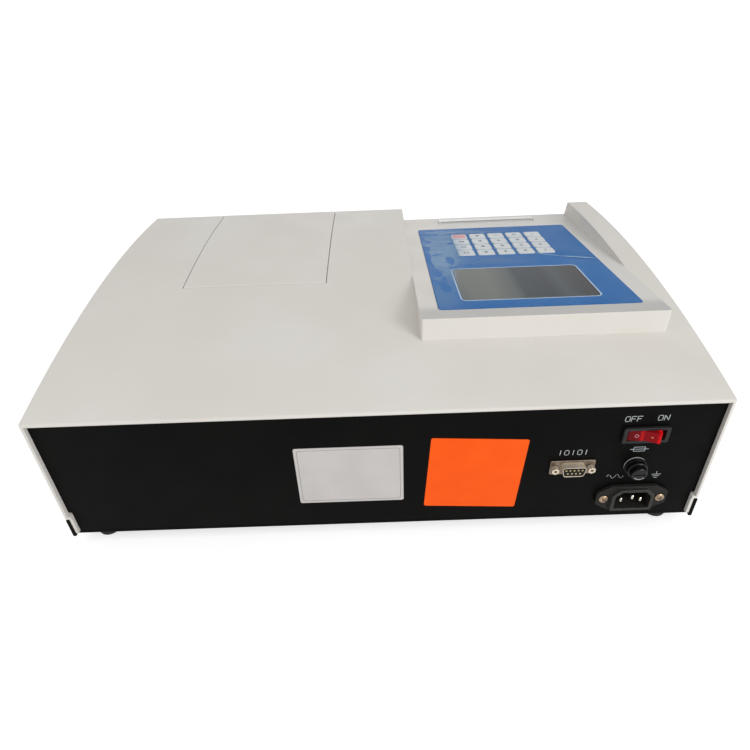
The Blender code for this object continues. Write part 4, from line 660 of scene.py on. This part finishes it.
print("packed solids")
plain = {
    "base_tray": (coatedSteel, 0.5), "rear_panel": (coatedSteel, 0.3), "sample_deck": (zincSteel, 0.3),
    "cup_locator": (locatorAluminium, 0.3), "xray_detector": (detectorAluminium, 0.3),
    "sample_cup": (cupPlastic, 0.25), "measuring_head": (headBrass, 0.4), "xray_tube": (tubeSteel, 0.3),
    "high_voltage_supply": (greySteel, 0.8), "mains_transformer": (windingTape, 0.0),
    "main_board": (board, 0.0), "key_board": (board, 0.0),
    "keypad_overlay": (overlayFilm, 0.0), "display_window": (displayPane, 0.15),
    "display_module": (moduleFrame, 0.2), "tear_bar": (whitePlastic, 0.1), "paper_spindle": (whitePlastic, 0.2),
    "printer_frame": (greyPlastic, 0.3), "platen_roller": (platenRubber, 0.2), "paper_roll": (paper, 0.2),
    "switch_body": (blackNylon, 0.25), "serial_insert": (insertBlack, 0.0), "fuse_holder": (blackPhenolic, 0.2),
    "glass_fuse": (fuseGlass, 0.15), "jackscrew_left": (shellTin, 0.15), "jackscrew_right": (shellTin, 0.15),
    "blade_live": (bladeBrass, 0.2), "blade_neutral": (bladeBrass, 0.2), "blade_earth": (bladeBrass, 0.2),
    **{foot: (footRubber, 0.3) for foot in footNames},
    **{"key_%02d" % number: (keyPlastic, 0.2) for number in range(1, 21)}}
for node, (finish, edge) in plain.items():
    dressNode(node, finish, edge * mm)

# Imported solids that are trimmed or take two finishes: shares that the rocker's raised end and the washer keep,
# how far the cap's face goes back, and where the two flanges end

trims = {"rockerEnd": 0.80, "washer": 0.92, "capFace": 0.06 * mm, "shellFlange": 178.8 * mm,
         "inletFlange": 180.6 * mm}


def towards(value, middle, share):
    return middle + (value - middle) * share


def shortRocker(co):
    # its raised end stops short of the bezel, as it tips about an axis that lies deeper
    if co.x < places["rocker"] * mm:
        co.x = towards(co.x, places["rocker"] * mm, trims["rockerEnd"])


def smallWasher(co):
    # its edge is pressed back under the holder's collar
    co.x = towards(co.x, places["fuse"][0] * mm, trims["washer"])
    co.z = towards(co.z, places["fuse"][1] * mm, trims["washer"])


def lowCap(co):
    # its face makes room for the printed arc
    co.y = min(co.y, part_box("fuse_cap")[1][1] - trims["capFace"])


# the flange's faces take the painted shaded tin, the shell's faces the painted lit tin
dressNode("serial_shell", shellTin, 0.12 * mm, second=shadedFlangeTin, secondBelow=trims["shellFlange"])
dressNode("inlet_body", inletBlack, 0.2 * mm, second=inletFlange, secondBelow=trims["inletFlange"])
dressNode("power_rocker", rockerRed, 0.3 * mm, change=shortRocker)
dressNode("fuse_washer", washerFibre, 0.1 * mm, change=smallWasher)
dressNode("fuse_cap", blackPhenolic, 0.15 * mm, change=lowCap)

# The tear bar's saw teeth

teeth = {"pitch": 1.5 * mm, "depth": 0.8 * mm, "thick": 0.25 * mm, "margin": 1.2 * mm, "tuckedIn": 0.05 * mm,
         "below": 0.55 * mm}


def teethPiece():
    corners = [consoleInverse @ v.co for v in nodes["tear_bar"].data.vertices]
    left, right = min(c.x for c in corners) + teeth["margin"], max(c.x for c in corners) - teeth["margin"]
    near, top = max(c.y for c in corners), max(c.z for c in corners)
    count = int((right - left) / teeth["pitch"])
    shape = bmesh.new()
    bmesh.ops.create_grid(shape, x_segments=2 * count, y_segments=1, size=0.5)
    bmesh.ops.scale(shape, vec=(right - left, 2 * teeth["depth"], 1), verts=shape.verts)
    for number, v in enumerate(sorted((v for v in shape.verts if v.co.y > 0), key=lambda v: v.co.x)):
        v.co.y *= number % 2
    raiseFaces(shape, teeth["thick"])
    finishPiece(shape, "tear_teeth", toothSteel, "housing",
                onConsole((left + right) / 2, near - teeth["tuckedIn"], top - teeth["below"]))


teethPiece()

# Keypad legends: digits and plain signs, each on its own key, all in mm

print("keypad")
inkSunk = 0.01 * mm  # every print is sunk in by this much, so that no gap shows under it
keypad = {"pitchAcross": 17.9, "pitchAlong": 17.2, "middleAlong": -169.2, "top": 0.9, "print": 0.05,
          "signs": (".", "0", "-", "left", "stop", "7", "8", "9", "right", "bars",
                    "4", "5", "6", "down", "ring", "1", "2", "3", "up", "square"),
          "turns": {"left": 90, "right": -90, "up": 0, "down": 180},
          # the digits' height and the arrows' radius; else width and height, then what the shape still needs
          "sizes": {"digit": (5.2,), "arrow": (4.6 * 0.58,), ".": (1.3, 1.3), "-": (4, 0.9),
                    "stop": (12.2, 12.2, 1.3), "bars": (5.5, 0.8, 1.7), "ring": (2.4, 0.7),
                    "square": (4.6, 4.6, 0.6, 0.7)}}


def signShape(sign):
    thick = keypad["print"] * mm
    kind = "digit" if sign.isdigit() else "arrow" if sign in keypad["turns"] else sign
    size = [length * mm for length in keypad["sizes"][kind]]
    if kind == "digit":
        return textShape(sign, *size, thick)
    if kind == "arrow":
        return moved(raiseFaces(roundFace(*size, 3), thick), 0, 0, math.radians(keypad["turns"][sign]))
    if kind == "bars":
        return joinShapes([moved(barShape(*size[:2], thick), 0, i * size[2]) for i in (-1, 0, 1)])
    if kind == "ring":
        return ringOf(roundFace(size[0], 32), size[1], thick)
    if kind == "square":
        return ringOf(roundedFace(*size[:3]), size[3], thick)
    return barShape(*size[:2], thick, *size[2:])


for number, sign in enumerate(keypad["signs"], 1):
    row, column = divmod(number - 1, 5)
    across = (column - 2) * keypad["pitchAcross"]
    along = keypad["middleAlong"] + (row - 1.5) * keypad["pitchAlong"]
    place = onConsole(across * mm, along * mm, keypad["top"] * mm - inkSunk)
    ink, slotName = (redInk, "red_key_plastic") if sign == "stop" else (blackInk, "key_plastic")
    finishPiece(signShape(sign), "legend_%02d" % number, ink, bodyOf["key_%02d" % number], place)

# Display border and protective film

print("display and film")
display = {"across": 2.7 * mm, "along": -65.9 * mm, "width": 103.2 * mm, "length": 69.8 * mm, "corner": 4 * mm,
           "line": 1.05 * mm, "gap": 0.3 * mm, "print": 0.05 * mm, "level": 0.29 * mm, "filmLap": 1 * mm}
wide, long = [display[side] + 2 * display["line"] + display["gap"] for side in ("width", "length")]
shape = ringOf(roundedFace(wide, long, display["corner"] + display["line"]), display["line"], display["print"])
finishPiece(shape, "display_border", lineInk, "housing",
            onConsole(display["across"], display["along"], display["level"]))

# All in mm and degrees on the console. keyField: how far the keys reach from their middle, and tent: how far
# beside them the film comes down; loose: it has lifted up to 20 from its edge at 74, and lies again beyond 60;
# lift: how high its ripples are where it lies and what is added where it has lifted, dip: how low they go;
# held: how wide its stuck edge is, and at which level
film = {"width": 146.3, "length": 209.4, "along": -120.4, "cells": (78, 112), "rest": 0.42, "overKeys": 1.02,
        "keyField": (44, 34), "tent": 9, "loose": (20, 60, 74), "lift": (0.25, 0.5), "dip": -0.1,
        "held": (2.5, 0.34),
        # each ripple: its size across and along, its place in the noise and its share
        "ripples": ((13, 21, 0.3, 0.5), (6, 9, 4.1, 0.25)),
        # each crease: its two ends, its width and its height
        "creases": (((-26, -128), (-47, -121), 1.1, 0.30), ((-46, -121.3), (-73, -112), 1.8, 0.62),
                    ((44, -124), (24, -128), 2.2, 0.35), ((70, -84), (59, -62), 2.6, 0.5),
                    ((69.5, -135), (58, -142), 2.0, 0.45), ((53.6, -131), (56.6, -110), 2.4, 0.5),
                    ((55, -100), (43, -107), 1.8, 0.4), ((40, -112), (-20, -114), 2.6, 0.28),
                    ((48, -218), (-24, -194), 2.4, 0.25)),
        # each cloud: place, half sizes and turn, and how milky it makes the film
        "clouds": ((57, -165, 28, 82, 0, 0.95), (60, -108, 22, 66, 0, 0.65), (68, -42, 20, 40, 0, 0.42),
                   (28, -211, 46, 12, -5, 0.75), (20, -119, 36, 13, -3, 0.42), (-8, -113, 18, 5, 8, 0.22),
                   (0, -27, 60, 9, 0, 0.10), (67, -170, 5, 3.5, 0, 0.3), (70, -150, 4, 3, 0, 0.3),
                   (69, -79, 6, 4, 0, 0.5), (10, -16.5, 26, 2, 0, 0.25)),
        # each facet, where the film clings and is clear: place, half sizes and turn
        "facets": ((71.6, -192, 2.6, 6.5, 0), (68, -181, 3.6, 4.6, 0), (70.6, -160, 4, 8, 0),
                   (72, -136, 4, 19, 0), (71.6, -111, 4.2, 19, 0), (69, -95, 6, 14, 12),
                   (63.3, -141, 6.6, 2.8, 24), (53, -124, 3.9, 12, 0), (50, -106, 9, 2.6, 20),
                   (64, -58.5, 4.2, 12, 8), (67, -68.5, 5.6, 5, 0), (63.5, -78, 2.4, 5, 0),
                   (72.7, -73.5, 3, 2.8, 0), (64, -206, 10, 3, -8), (47, -172, 2.6, 3.4, 0),
                   (30, -121, 5, 3, 0), (12, -108, 7, 2.2, 8)),
        # each painted highlight on a crease: place, half length, half width and turn, and how bright it is
        "creaseHighlights": ((-58.8, -120.3, 17, 2.4, -19.9, 1.7), (-35, -129.6, 14, 1.6, -23, 0.8),
                   (56, -101, 9, 1.5, 20, 0.22), (60, -150, 5, 1.6, 40, 0.15), (36, -116, 13, 1.4, 14, 0.18),
                   (61, -86, 10, 1.4, 60, 0.16))}


def smoothStep(low, high, value):
    share = min(max((value - low) / (high - low), 0), 1)
    return share * share * (3 - 2 * share)


def filmHeight(u, v):
    # the film clings to the overlay and stands off over the keys, with ripples where it has lifted
    keyReach = max(abs(u) - film["keyField"][0], abs(v - keypad["middleAlong"]) - film["keyField"][1])
    tent = 1 - smoothStep(0, film["tent"], keyReach)
    height = film["rest"] * mm + (film["overKeys"] * mm - film["rest"] * mm) * tent
    near, far, edge = film["loose"]
    loose = 1 - smoothStep(near, far, edge - u)
    ripple = sum(noise.noise(Vector((u / wide, v / tall, place))) * share
                 for wide, tall, place, share in film["ripples"])
    height += (film["lift"][0] + film["lift"][1] * loose) * max(ripple, film["dip"]) * mm
    for (u1, v1), (u2, v2), wide, tall in film["creases"]:
        run = Vector((u2 - u1, v2 - v1))
        share = min(max(Vector((u - u1, v - v1)).dot(run) / run.length_squared, 0), 1)
        gap = (Vector((u - u1, v - v1)) - run * share).length
        height += tall * mm * max(1 - gap / wide, 0)
    inside = min(film["width"] / 2 - abs(u), film["length"] / 2 - abs(v - film["along"]))
    held = 1 - smoothStep(0, film["held"][0], inside)
    return height * (1 - held) + film["held"][1] * mm * held


def filmPiece():
    shape = bmesh.new()
    bmesh.ops.create_grid(shape, x_segments=film["cells"][0], y_segments=film["cells"][1], size=0.5)
    bmesh.ops.scale(shape, vec=(film["width"] * mm, film["length"] * mm, 1), verts=shape.verts)
    bmesh.ops.translate(shape, vec=(0, film["along"] * mm, 0), verts=shape.verts)
    for v in shape.verts:
        v.co.z = filmHeight(v.co.x / mm, v.co.y / mm)
    middles = {face: face.calc_center_median() for face in shape.faces}
    window = [face for face, middle in middles.items()
              if abs(middle.x - display["across"]) < display["width"] / 2 - display["filmLap"]
              and abs(middle.y - display["along"]) < display["length"] / 2 - display["filmLap"]]
    bmesh.ops.delete(shape, geom=window, context="FACES")
    finishPiece(shape, "protective_film", clearFilm, "housing", consoleFrame, angle=50,
                sheet=True)


# blown polyethylene film, clear: cloudy where it has lifted, clear where it clings, with painted highlights on
# its creases
clearFilm = makeFinish(
    "blown_polyethylene_film", ("#80AED2", "#8AB7DA"), (0.14, 0.26), patch=30, smear=10, grain=5, lift=0.10,
    strength=0.6, ior=1.51, shine=0.12)
# crumple: mm that the clouds' outlines wander; streak: size and turn of the bands that make the haze uneven;
# thin: how much of the haze shows, and how much shows everywhere; ridge: how much of the painted crease
# highlights shows;
# cloudSoft, facetSoft and ridgeSoft: how far in from their edges these fade
haze = {"crumple": 5, "crumpleSize": 9, "streak": (26, 9, -24), "uneven": (0.88, 1.06), "thin": (0.47, 0.04),
        "ridge": 0.8, "cloudSoft": 0.8, "facetSoft": 0.22, "ridgeSoft": 0.5}
filmTree = clearFilm["tree"]
filmPlace = addNode(filmTree, "Mapping", {"vector_type": "TEXTURE", "Location": consoleFrame.translation,
                                          "Rotation": (consoleSlope, 0, 0)}, {"Vector": clearFilm["place"]})
filmWarp = addNode(filmTree, "TexNoise", {"Scale": perSize(haze["crumpleSize"]), "Detail": 3.0},
                   {"Vector": filmPlace})
wander = haze["crumple"] * mm
filmShift = addNode(filmTree, "VectorMath", {"operation": "MULTIPLY_ADD", 1: (wander, wander, 0),
                                             2: (-wander / 2, -wander / 2, 0)}, {0: filmWarp.outputs["Color"]})
filmCrumple = addNode(filmTree, "VectorMath", None, {0: filmPlace, 1: filmShift})


def sumOf(spots, coordinates, soft):
    # soft-edged ovals, added up
    total = None
    for u, v, halfAcross, halfAlong, turn, *strength in spots:
        oval = addNode(filmTree, "Mapping", {
            "vector_type": "TEXTURE", "Location": (u * mm, v * mm, 0), "Rotation": (0, 0, math.radians(turn)),
            "Scale": (halfAcross * mm, halfAlong * mm, 1)}, {"Vector": coordinates})
        ball = addNode(filmTree, "TexGradient", {"gradient_type": "SPHERICAL"}, {"Vector": oval})
        spot = addNode(filmTree, "MapRange", {"interpolation_type": "SMOOTHSTEP", "From Max": soft,
                                              "To Max": (strength or [1.0])[0]}, {"Value": ball.outputs[1]})
        if total:
            spot = addNode(filmTree, "Math", {"operation": "ADD", "use_clamp": True}, {0: total, 1: spot})
        total = spot
    return total


filmHaze = sumOf(film["clouds"], filmCrumple, haze["cloudSoft"])
filmClear = addNode(filmTree, "Math", {"operation": "SUBTRACT", 0: 1.0},
                    {1: sumOf(film["facets"], filmCrumple, haze["facetSoft"])})
across, along, turn = haze["streak"]
filmStreak = addNode(filmTree, "Mapping", {"vector_type": "TEXTURE", "Scale": (across * mm, along * mm, 1),
                                           "Rotation": (0, 0, math.radians(turn))}, {"Vector": filmPlace})
filmFold = addNode(filmTree, "TexNoise", {"Scale": 1.0, "Detail": 3.0, "Distortion": 1.2},
                   {"Vector": filmStreak})
filmUneven = addNode(filmTree, "MapRange", {"From Min": 0.40, "From Max": 0.60, "To Min": haze["uneven"][0],
                                            "To Max": haze["uneven"][1]}, {"Value": filmFold})
filmMilk = addNode(filmTree, "Math", {"operation": "MULTIPLY"}, {0: filmHaze, 1: filmUneven})
filmMilk = addNode(filmTree, "Math", {"operation": "MULTIPLY"}, {0: filmMilk, 1: filmClear})
filmThin = addNode(filmTree, "Math", {"operation": "MULTIPLY_ADD", 1: haze["thin"][0], 2: haze["thin"][1]},
                   {0: filmMilk})
filmCreaseHighlights = sumOf(film["creaseHighlights"], filmPlace, haze["ridgeSoft"])
filmAlpha = addNode(filmTree, "Math", {"operation": "MULTIPLY_ADD", "use_clamp": True, 1: haze["ridge"]},
                    {0: filmCreaseHighlights, 2: filmThin})
lead(filmAlpha, clearFilm, "shader", "Alpha")
filmPiece()

# Rear panel: marks, plates and small fittings, with their places in mm as seen from behind

print("rear panel")
panelPrint = {"letter": (2.9 * mm, 4.2 * mm), "line": 0.38 * mm, "fineLine": 0.32 * mm, "slant": 0.06,
              "thickness": 0.06 * mm}
strokes = {
    "O": (((0.15, 0), (0.85, 0), (1, 0.15), (1, 0.85), (0.85, 1), (0.15, 1), (0, 0.85), (0, 0.15), (0.15, 0)),),
    "F": (((0, 0), (0, 1), (1, 1)), ((0, 0.5), (0.8, 0.5))),
    "N": (((0, 0), (0, 1), (1, 0), (1, 1)),),
    "I": (((0.5, 0), (0.5, 1)),)}
words = {"off": {"letters": "OFF", "pitch": 3.95, "place": (168.5, 103.6)},
         "on": {"letters": "ON", "pitch": 4.1, "place": (188.0, 103.8)},
         "serial": {"letters": "IOIOI", "pitch": 4.4, "place": (133.4, 75.3)}}
wave = {"step": 0.36, "height": 1.9, "points": 16, "half": 8}  # half: steps in half a wave
signs = {
    "fuse": {"place": (178.0, 76.4), "lines": (
        ((-3.8, -1.9), (3.8, -1.9), (3.8, 1.9), (-3.8, 1.9), (-3.8, -1.9)), ((-6.2, 0), (6.2, 0)))},
    "mains": {"place": (166.4, 50.9), "lines": (
        [(t * wave["step"], wave["height"] * math.sin(t * math.pi / wave["half"]))
         for t in range(-wave["points"], wave["points"] + 1)],)},
    "earth": {"place": (195.2, 51.3), "lines": (
        ((0, 3.0), (0, 0.4)), ((-3.2, 0.4), (3.2, 0.4)), ((-2.1, -1.2), (2.1, -1.2)),
        ((-1.0, -2.8), (1.0, -2.8)))}}


def letterPaths(letters, pitch):
    # slanted pen lettering, its middle at the origin
    wide, tall = panelPrint["letter"]
    paths = []
    for place, letter in enumerate(letters):
        start = (place - (len(letters) - 1) / 2) * pitch - wide / 2
        for path in strokes[letter]:
            paths.append([(start + x * wide + (y - 0.5) * tall * panelPrint["slant"], (y - 0.5) * tall)
                          for x, y in path])
    return paths


def panelMark(name, paths, line, place):
    finishPiece(strokeShape(paths, line, panelPrint["thickness"]), "mark_" + name, greyInk, "housing",
                onPanel(place[0] * mm, place[1] * mm, -inkSunk))


for name, word in words.items():
    panelMark(name, letterPaths(word["letters"], word["pitch"] * mm), panelPrint["line"], word["place"])
for name, sign in signs.items():
    panelMark(name, [[(x * mm, y * mm) for x, y in line] for line in sign["lines"]], panelPrint["fineLine"],
              sign["place"])

plates = {"white": {"place": (-19.9, 61.2), "size": (74.5, 53.0), "turn": 0.0, "finish": whiteVinyl},
          "orange": {"place": (67.2, 58.2), "size": (66.3, 65.6), "turn": -3.7, "finish": orangeVinyl}}
plateStock = {"corner": 1.5 * mm, "thick": 0.3 * mm, "sunk": 0.02 * mm, "edge": 0.08 * mm}
border = {"size": (70.5 * mm, 49 * mm), "corner": 2.2 * mm, "line": 0.35 * mm, "print": 0.04 * mm,
          "level": 0.265 * mm}
for name, plate in plates.items():
    (across, height), (wide, tall) = plate["place"], plate["size"]
    shape = raiseFaces(roundedFace(wide * mm, tall * mm, plateStock["corner"]), plateStock["thick"])
    place = onPanel(across * mm, height * mm, -plateStock["sunk"], math.radians(plate["turn"]))
    finishPiece(shape, "plate_" + name, plate["finish"], "housing", place, plateStock["edge"])
across, height = plates["white"]["place"]
shape = ringOf(roundedFace(*border["size"], border["corner"]), border["line"], border["print"])
finishPiece(shape, "plate_border", borderInk, "housing",
            onPanel(across * mm, height * mm, border["level"]))

# crown: share of the head's height that is domed; skirt: share of its radius at its foot; slot: length, width
# and corner of each arm of the cross, as shares of the radius; slotFloor: share of the height it starts at
screw = {"steps": 36, "domeAngles": (8, 24, 40, 56, 72, 84, 90), "crown": 0.65, "skirt": 0.97,
         "slot": (1.15, 0.27, 0.04), "slotFloor": 0.5}


def crossScrew(radius, height):
    # pan head with a cross recess
    angles = [math.radians(a) for a in screw["domeAngles"]]
    crown = screw["crown"]
    dome = [(radius * math.sin(a), height * (1 - crown + crown * math.cos(a))) for a in angles]
    head = turnedShape([(0, height), *dome, (radius * screw["skirt"], 0), (0, 0)], screw["steps"])
    long, wide, corner = [radius * share for share in screw["slot"]]
    cross = joinShapes([moved(barShape(long, wide, height, corner), 0, 0, turn) for turn in (0, math.pi / 2)])
    bmesh.ops.translate(cross, vec=(0, 0, height * screw["slotFloor"]), verts=cross.verts)
    for shape in (head, cross):
        bmesh.ops.recalc_face_normals(shape, faces=shape.faces)
    body, tool = inScene("head", meshOf(head, "head")), inScene("tool", meshOf(cross, "cutter"))
    cut = body.modifiers.new("cross", "BOOLEAN")
    cut.object = tool
    cut.use_self = True
    return shapeOf(body, tool)


# each screw has its distance from the inlet's middle and its turn
inlet = {"across": 181.0, "height": 31.5, "proud": 2.72, "screwRadius": 3.4, "screwHeight": 1.9,
         "screws": {"left": (-20.0, -35), "right": (20.0, 20)}}
for side, (shift, turn) in inlet["screws"].items():
    shape = crossScrew(inlet["screwRadius"] * mm, inlet["screwHeight"] * mm)
    place = onPanel((inlet["across"] + shift) * mm, inlet["height"] * mm, inlet["proud"] * mm,
                    math.radians(turn))
    finishPiece(shape, "inlet_screw_" + side, screwBronze, "housing", place)

feet = {"screwRadius": 2.7, "screwHeight": 1.6, "level": 3.95}
for name in footNames:
    low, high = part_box(name)
    shape = crossScrew(feet["screwRadius"] * mm, feet["screwHeight"] * mm)
    middle = Matrix.Translation(((low[0] + high[0]) / 2, (low[1] + high[1]) / 2, feet["level"] * mm))
    finishPiece(shape, name + "_screw", nickel, "housing", middle @ Matrix.Rotation(math.pi, 4, "X"))

# each row has its number of contacts and its share of the row pitch above the middle
serial = {"across": 134.4, "height": 62.3, "proud": 2.2, "pitch": 2.77, "rowPitch": 2.84, "radius": 0.56,
          "bore": 0.2, "length": 3.7, "rows": ((5, 0.5), (4, -0.5)), "steps": 16}
bore, radius, length = [serial[size] * mm for size in ("bore", "radius", "length")]
outline = [(bore, 0), (radius, 0), (radius, length), (bore, length), (bore, 0)]
sleeves = []
for count, row in serial["rows"]:
    for i in range(count):
        sleeve = turnedShape(outline, serial["steps"])
        sleeves.append(moved(sleeve, (i - (count - 1) / 2) * serial["pitch"] * mm,
                             row * serial["rowPitch"] * mm))
finishPiece(joinShapes(sleeves), "serial_contacts", contactGold, "housing",
            onPanel(serial["across"] * mm, serial["height"] * mm, serial["proud"] * mm))

# Marks that ride on the rocker and on the fuse cap

print("rocker and cap marks")


def faceFrame(node, choose):
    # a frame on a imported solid's own face: z out of it, x level to the viewer's right
    faces = [face for face in nodes[node].data.polygons if choose(face)]
    area = sum(face.area for face in faces)
    middle = sum((face.center * face.area for face in faces), Vector()) / area
    out = sum((face.normal * face.area for face in faces), Vector()).normalized()
    right = Vector((0, 0, 1)).cross(out).normalized()
    return Matrix((right, out.cross(right), out)).transposed().to_4x4(), middle


rockerMarks = {"ring": (1.35 * mm, 0.34 * mm), "bar": (2.6 * mm, 0.42 * mm), "print": 0.05 * mm, "steps": 32,
               "outward": 0.8, "pastAxis": 1 * mm}
axis = places["rocker"] * mm
ring = roundFace(rockerMarks["ring"][0], rockerMarks["steps"])
for name, side, shape, finish in (
        ("rocker_ring", 1, ringOf(ring, rockerMarks["ring"][1], rockerMarks["print"]), ringLacquer),
        ("rocker_bar", -1, barShape(*rockerMarks["bar"], rockerMarks["print"]), barLacquer)):
    # from the faces that look outwards and lie on this mark's side of the axis
    turn, middle = faceFrame("power_rocker", lambda face: face.normal.y > rockerMarks["outward"]
                             and (face.center.x - axis) * side > rockerMarks["pastAxis"])
    middle.x = max(middle.x, towards(middle.x, axis, trims["rockerEnd"]))
    finishPiece(shape, name, finish, "rocker",
                Matrix.Translation(middle) @ turn @ Matrix.Translation((0, 0, -inkSunk)))

capMark = {"radius": 3.9 * mm, "line": 0.5 * mm, "half": 48, "step": 12, "print": 0.05 * mm}
arc = [(capMark["radius"] * math.sin(math.radians(a)), -capMark["radius"] * math.cos(math.radians(a)))
       for a in range(-capMark["half"], capMark["half"] + 1, capMark["step"])]
low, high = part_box("fuse_cap")
capProud = high[1] - places["panelFace"] * mm - trims["capFace"] - inkSunk
finishPiece(strokeShape([arc], capMark["line"], capMark["print"]), "cap_arc", whiteInk, "cap",
            onPanel(-places["fuse"][0] * mm, places["fuse"][1] * mm, capProud))

# Stage, light and camera

print("stage")
lamps = {
    "key softbox": {"place": (-1.4, 1.85, 1.1), "target": (0, 0, 0.08), "size": (1.1, 0.9), "power": 29.5},
    "left softbox": {"place": (0.7, 0.45, 0.75), "target": (0.1, 0.1, 0.12), "size": (0.5, 0.4), "power": 0.7},
    "low window": {"place": (0.25, -3.0, 0.95), "target": (-0.05, 0, 0.12), "size": (1.5, 1.1), "power": 3.8}}
for name, lamp in lamps.items():
    panel = bpy.data.lights.new(name, "AREA")
    panel.shape = "RECTANGLE"
    panel.size, panel.size_y = lamp["size"]
    panel.energy = lamp["power"]
    aim = (Vector(lamp["target"]) - Vector(lamp["place"])).to_track_quat("-Z", "Y").to_matrix().to_4x4()
    holder = inScene(name, panel)
    holder.matrix_world = Matrix.Translation(lamp["place"]) @ aim
    holder.visible_camera = False


def seenDirectly(tree):
    # 1 for what the camera, a gloss or a clear piece sees of this, 0 for the light that it gives
    rays = addNode(tree, "LightPath")
    seen = addNode(tree, "Math", {"operation": "MAXIMUM"},
                   {0: rays.outputs["Is Camera Ray"], 1: rays.outputs["Is Glossy Ray"]})
    return addNode(tree, "Math", {"operation": "MAXIMUM"}, {0: seen, 1: rays.outputs["Is Transmission Ray"]})


# the floor is pressed paper: white and matt with faint clouds of fibre, glowing enough to run into the room
floor = {"size": 14.0, "cells": 8, "tones": ("#E2E2E2", "#E6E6E6"), "glow": 0.54, "fibre": 30}
floorShape = bmesh.new()
bmesh.ops.create_grid(floorShape, x_segments=floor["cells"], y_segments=floor["cells"], size=floor["size"] / 2)
floorPaper = bpy.data.materials.new("seamless_paper_white")
floorPaper.use_nodes = True
tree = floorPaper.node_tree
tree.nodes.clear()
strength = addNode(tree, "Math", {"operation": "MULTIPLY", 1: floor["glow"]}, {0: seenDirectly(tree)})
fibre = addNode(tree, "TexNoise", {"Scale": perSize(floor["fibre"]), "Detail": 3.0},
                {"Vector": addNode(tree, "TexCoord").outputs["Object"]})
fibreTone = addNode(tree, "Mix", {"data_type": "RGBA", 6: floor["tones"][0], 7: floor["tones"][1]}, {0: fibre})
matt = addNode(tree, "BsdfDiffuse", None, {"Color": fibreTone.outputs[2]})
glow = addNode(tree, "Emission", {"Color": (1, 1, 1, 1)}, {"Strength": strength})
both = addNode(tree, "AddShader", None, {0: matt, 1: glow})
addNode(tree, "OutputMaterial", None, {"Surface": both})
floorMesh = meshOf(floorShape, "studio_floor")
floorMesh.materials.append(floorPaper)
floorPiece = inScene("studio_floor", floorMesh)

room = {"sky": 0.60}  # the light that the white room gives; what is seen of it stays at 1
world = bpy.data.worlds.new("white room")
bpy.context.scene.world = world
world.use_nodes = True
tree = world.node_tree
tree.nodes.clear()
level = addNode(tree, "MapRange", {"To Min": room["sky"], "To Max": 1.0}, {"Value": seenDirectly(tree)})
back = addNode(tree, "Background", {"Color": (1, 1, 1, 1)}, {"Strength": level})
addNode(tree, "OutputWorld", None, {"Surface": back})

bpy.context.scene.view_settings.view_transform = "Standard"

camera = {"place": (-4.4366 * mm, 475.373 * mm, 362.79 * mm), "yaw": 0.0128, "pitch": 0.6269, "roll": -0.0440,
          "lens": 28.79, "sensor": 36, "nearest": 0.01}
yaw, pitch, roll = camera["yaw"], camera["pitch"], camera["roll"]
ahead = Vector((math.sin(yaw) * math.cos(pitch), -math.cos(yaw) * math.cos(pitch), -math.sin(pitch)))
flatRight = Vector((-math.cos(yaw), -math.sin(yaw), 0))
flatUp = flatRight.cross(ahead)
right = math.cos(roll) * flatRight + math.sin(roll) * flatUp
up = -math.sin(roll) * flatRight + math.cos(roll) * flatUp
lens = bpy.data.cameras.new("photo camera")
lens.lens = camera["lens"]
lens.sensor_width = camera["sensor"]
lens.clip_start = camera["nearest"]
viewer = inScene("photo camera", lens)
viewer.matrix_world = Matrix((right, up, -ahead)).transposed().to_4x4()
viewer.matrix_world.translation = Vector(camera["place"])
bpy.context.scene.camera = viewer
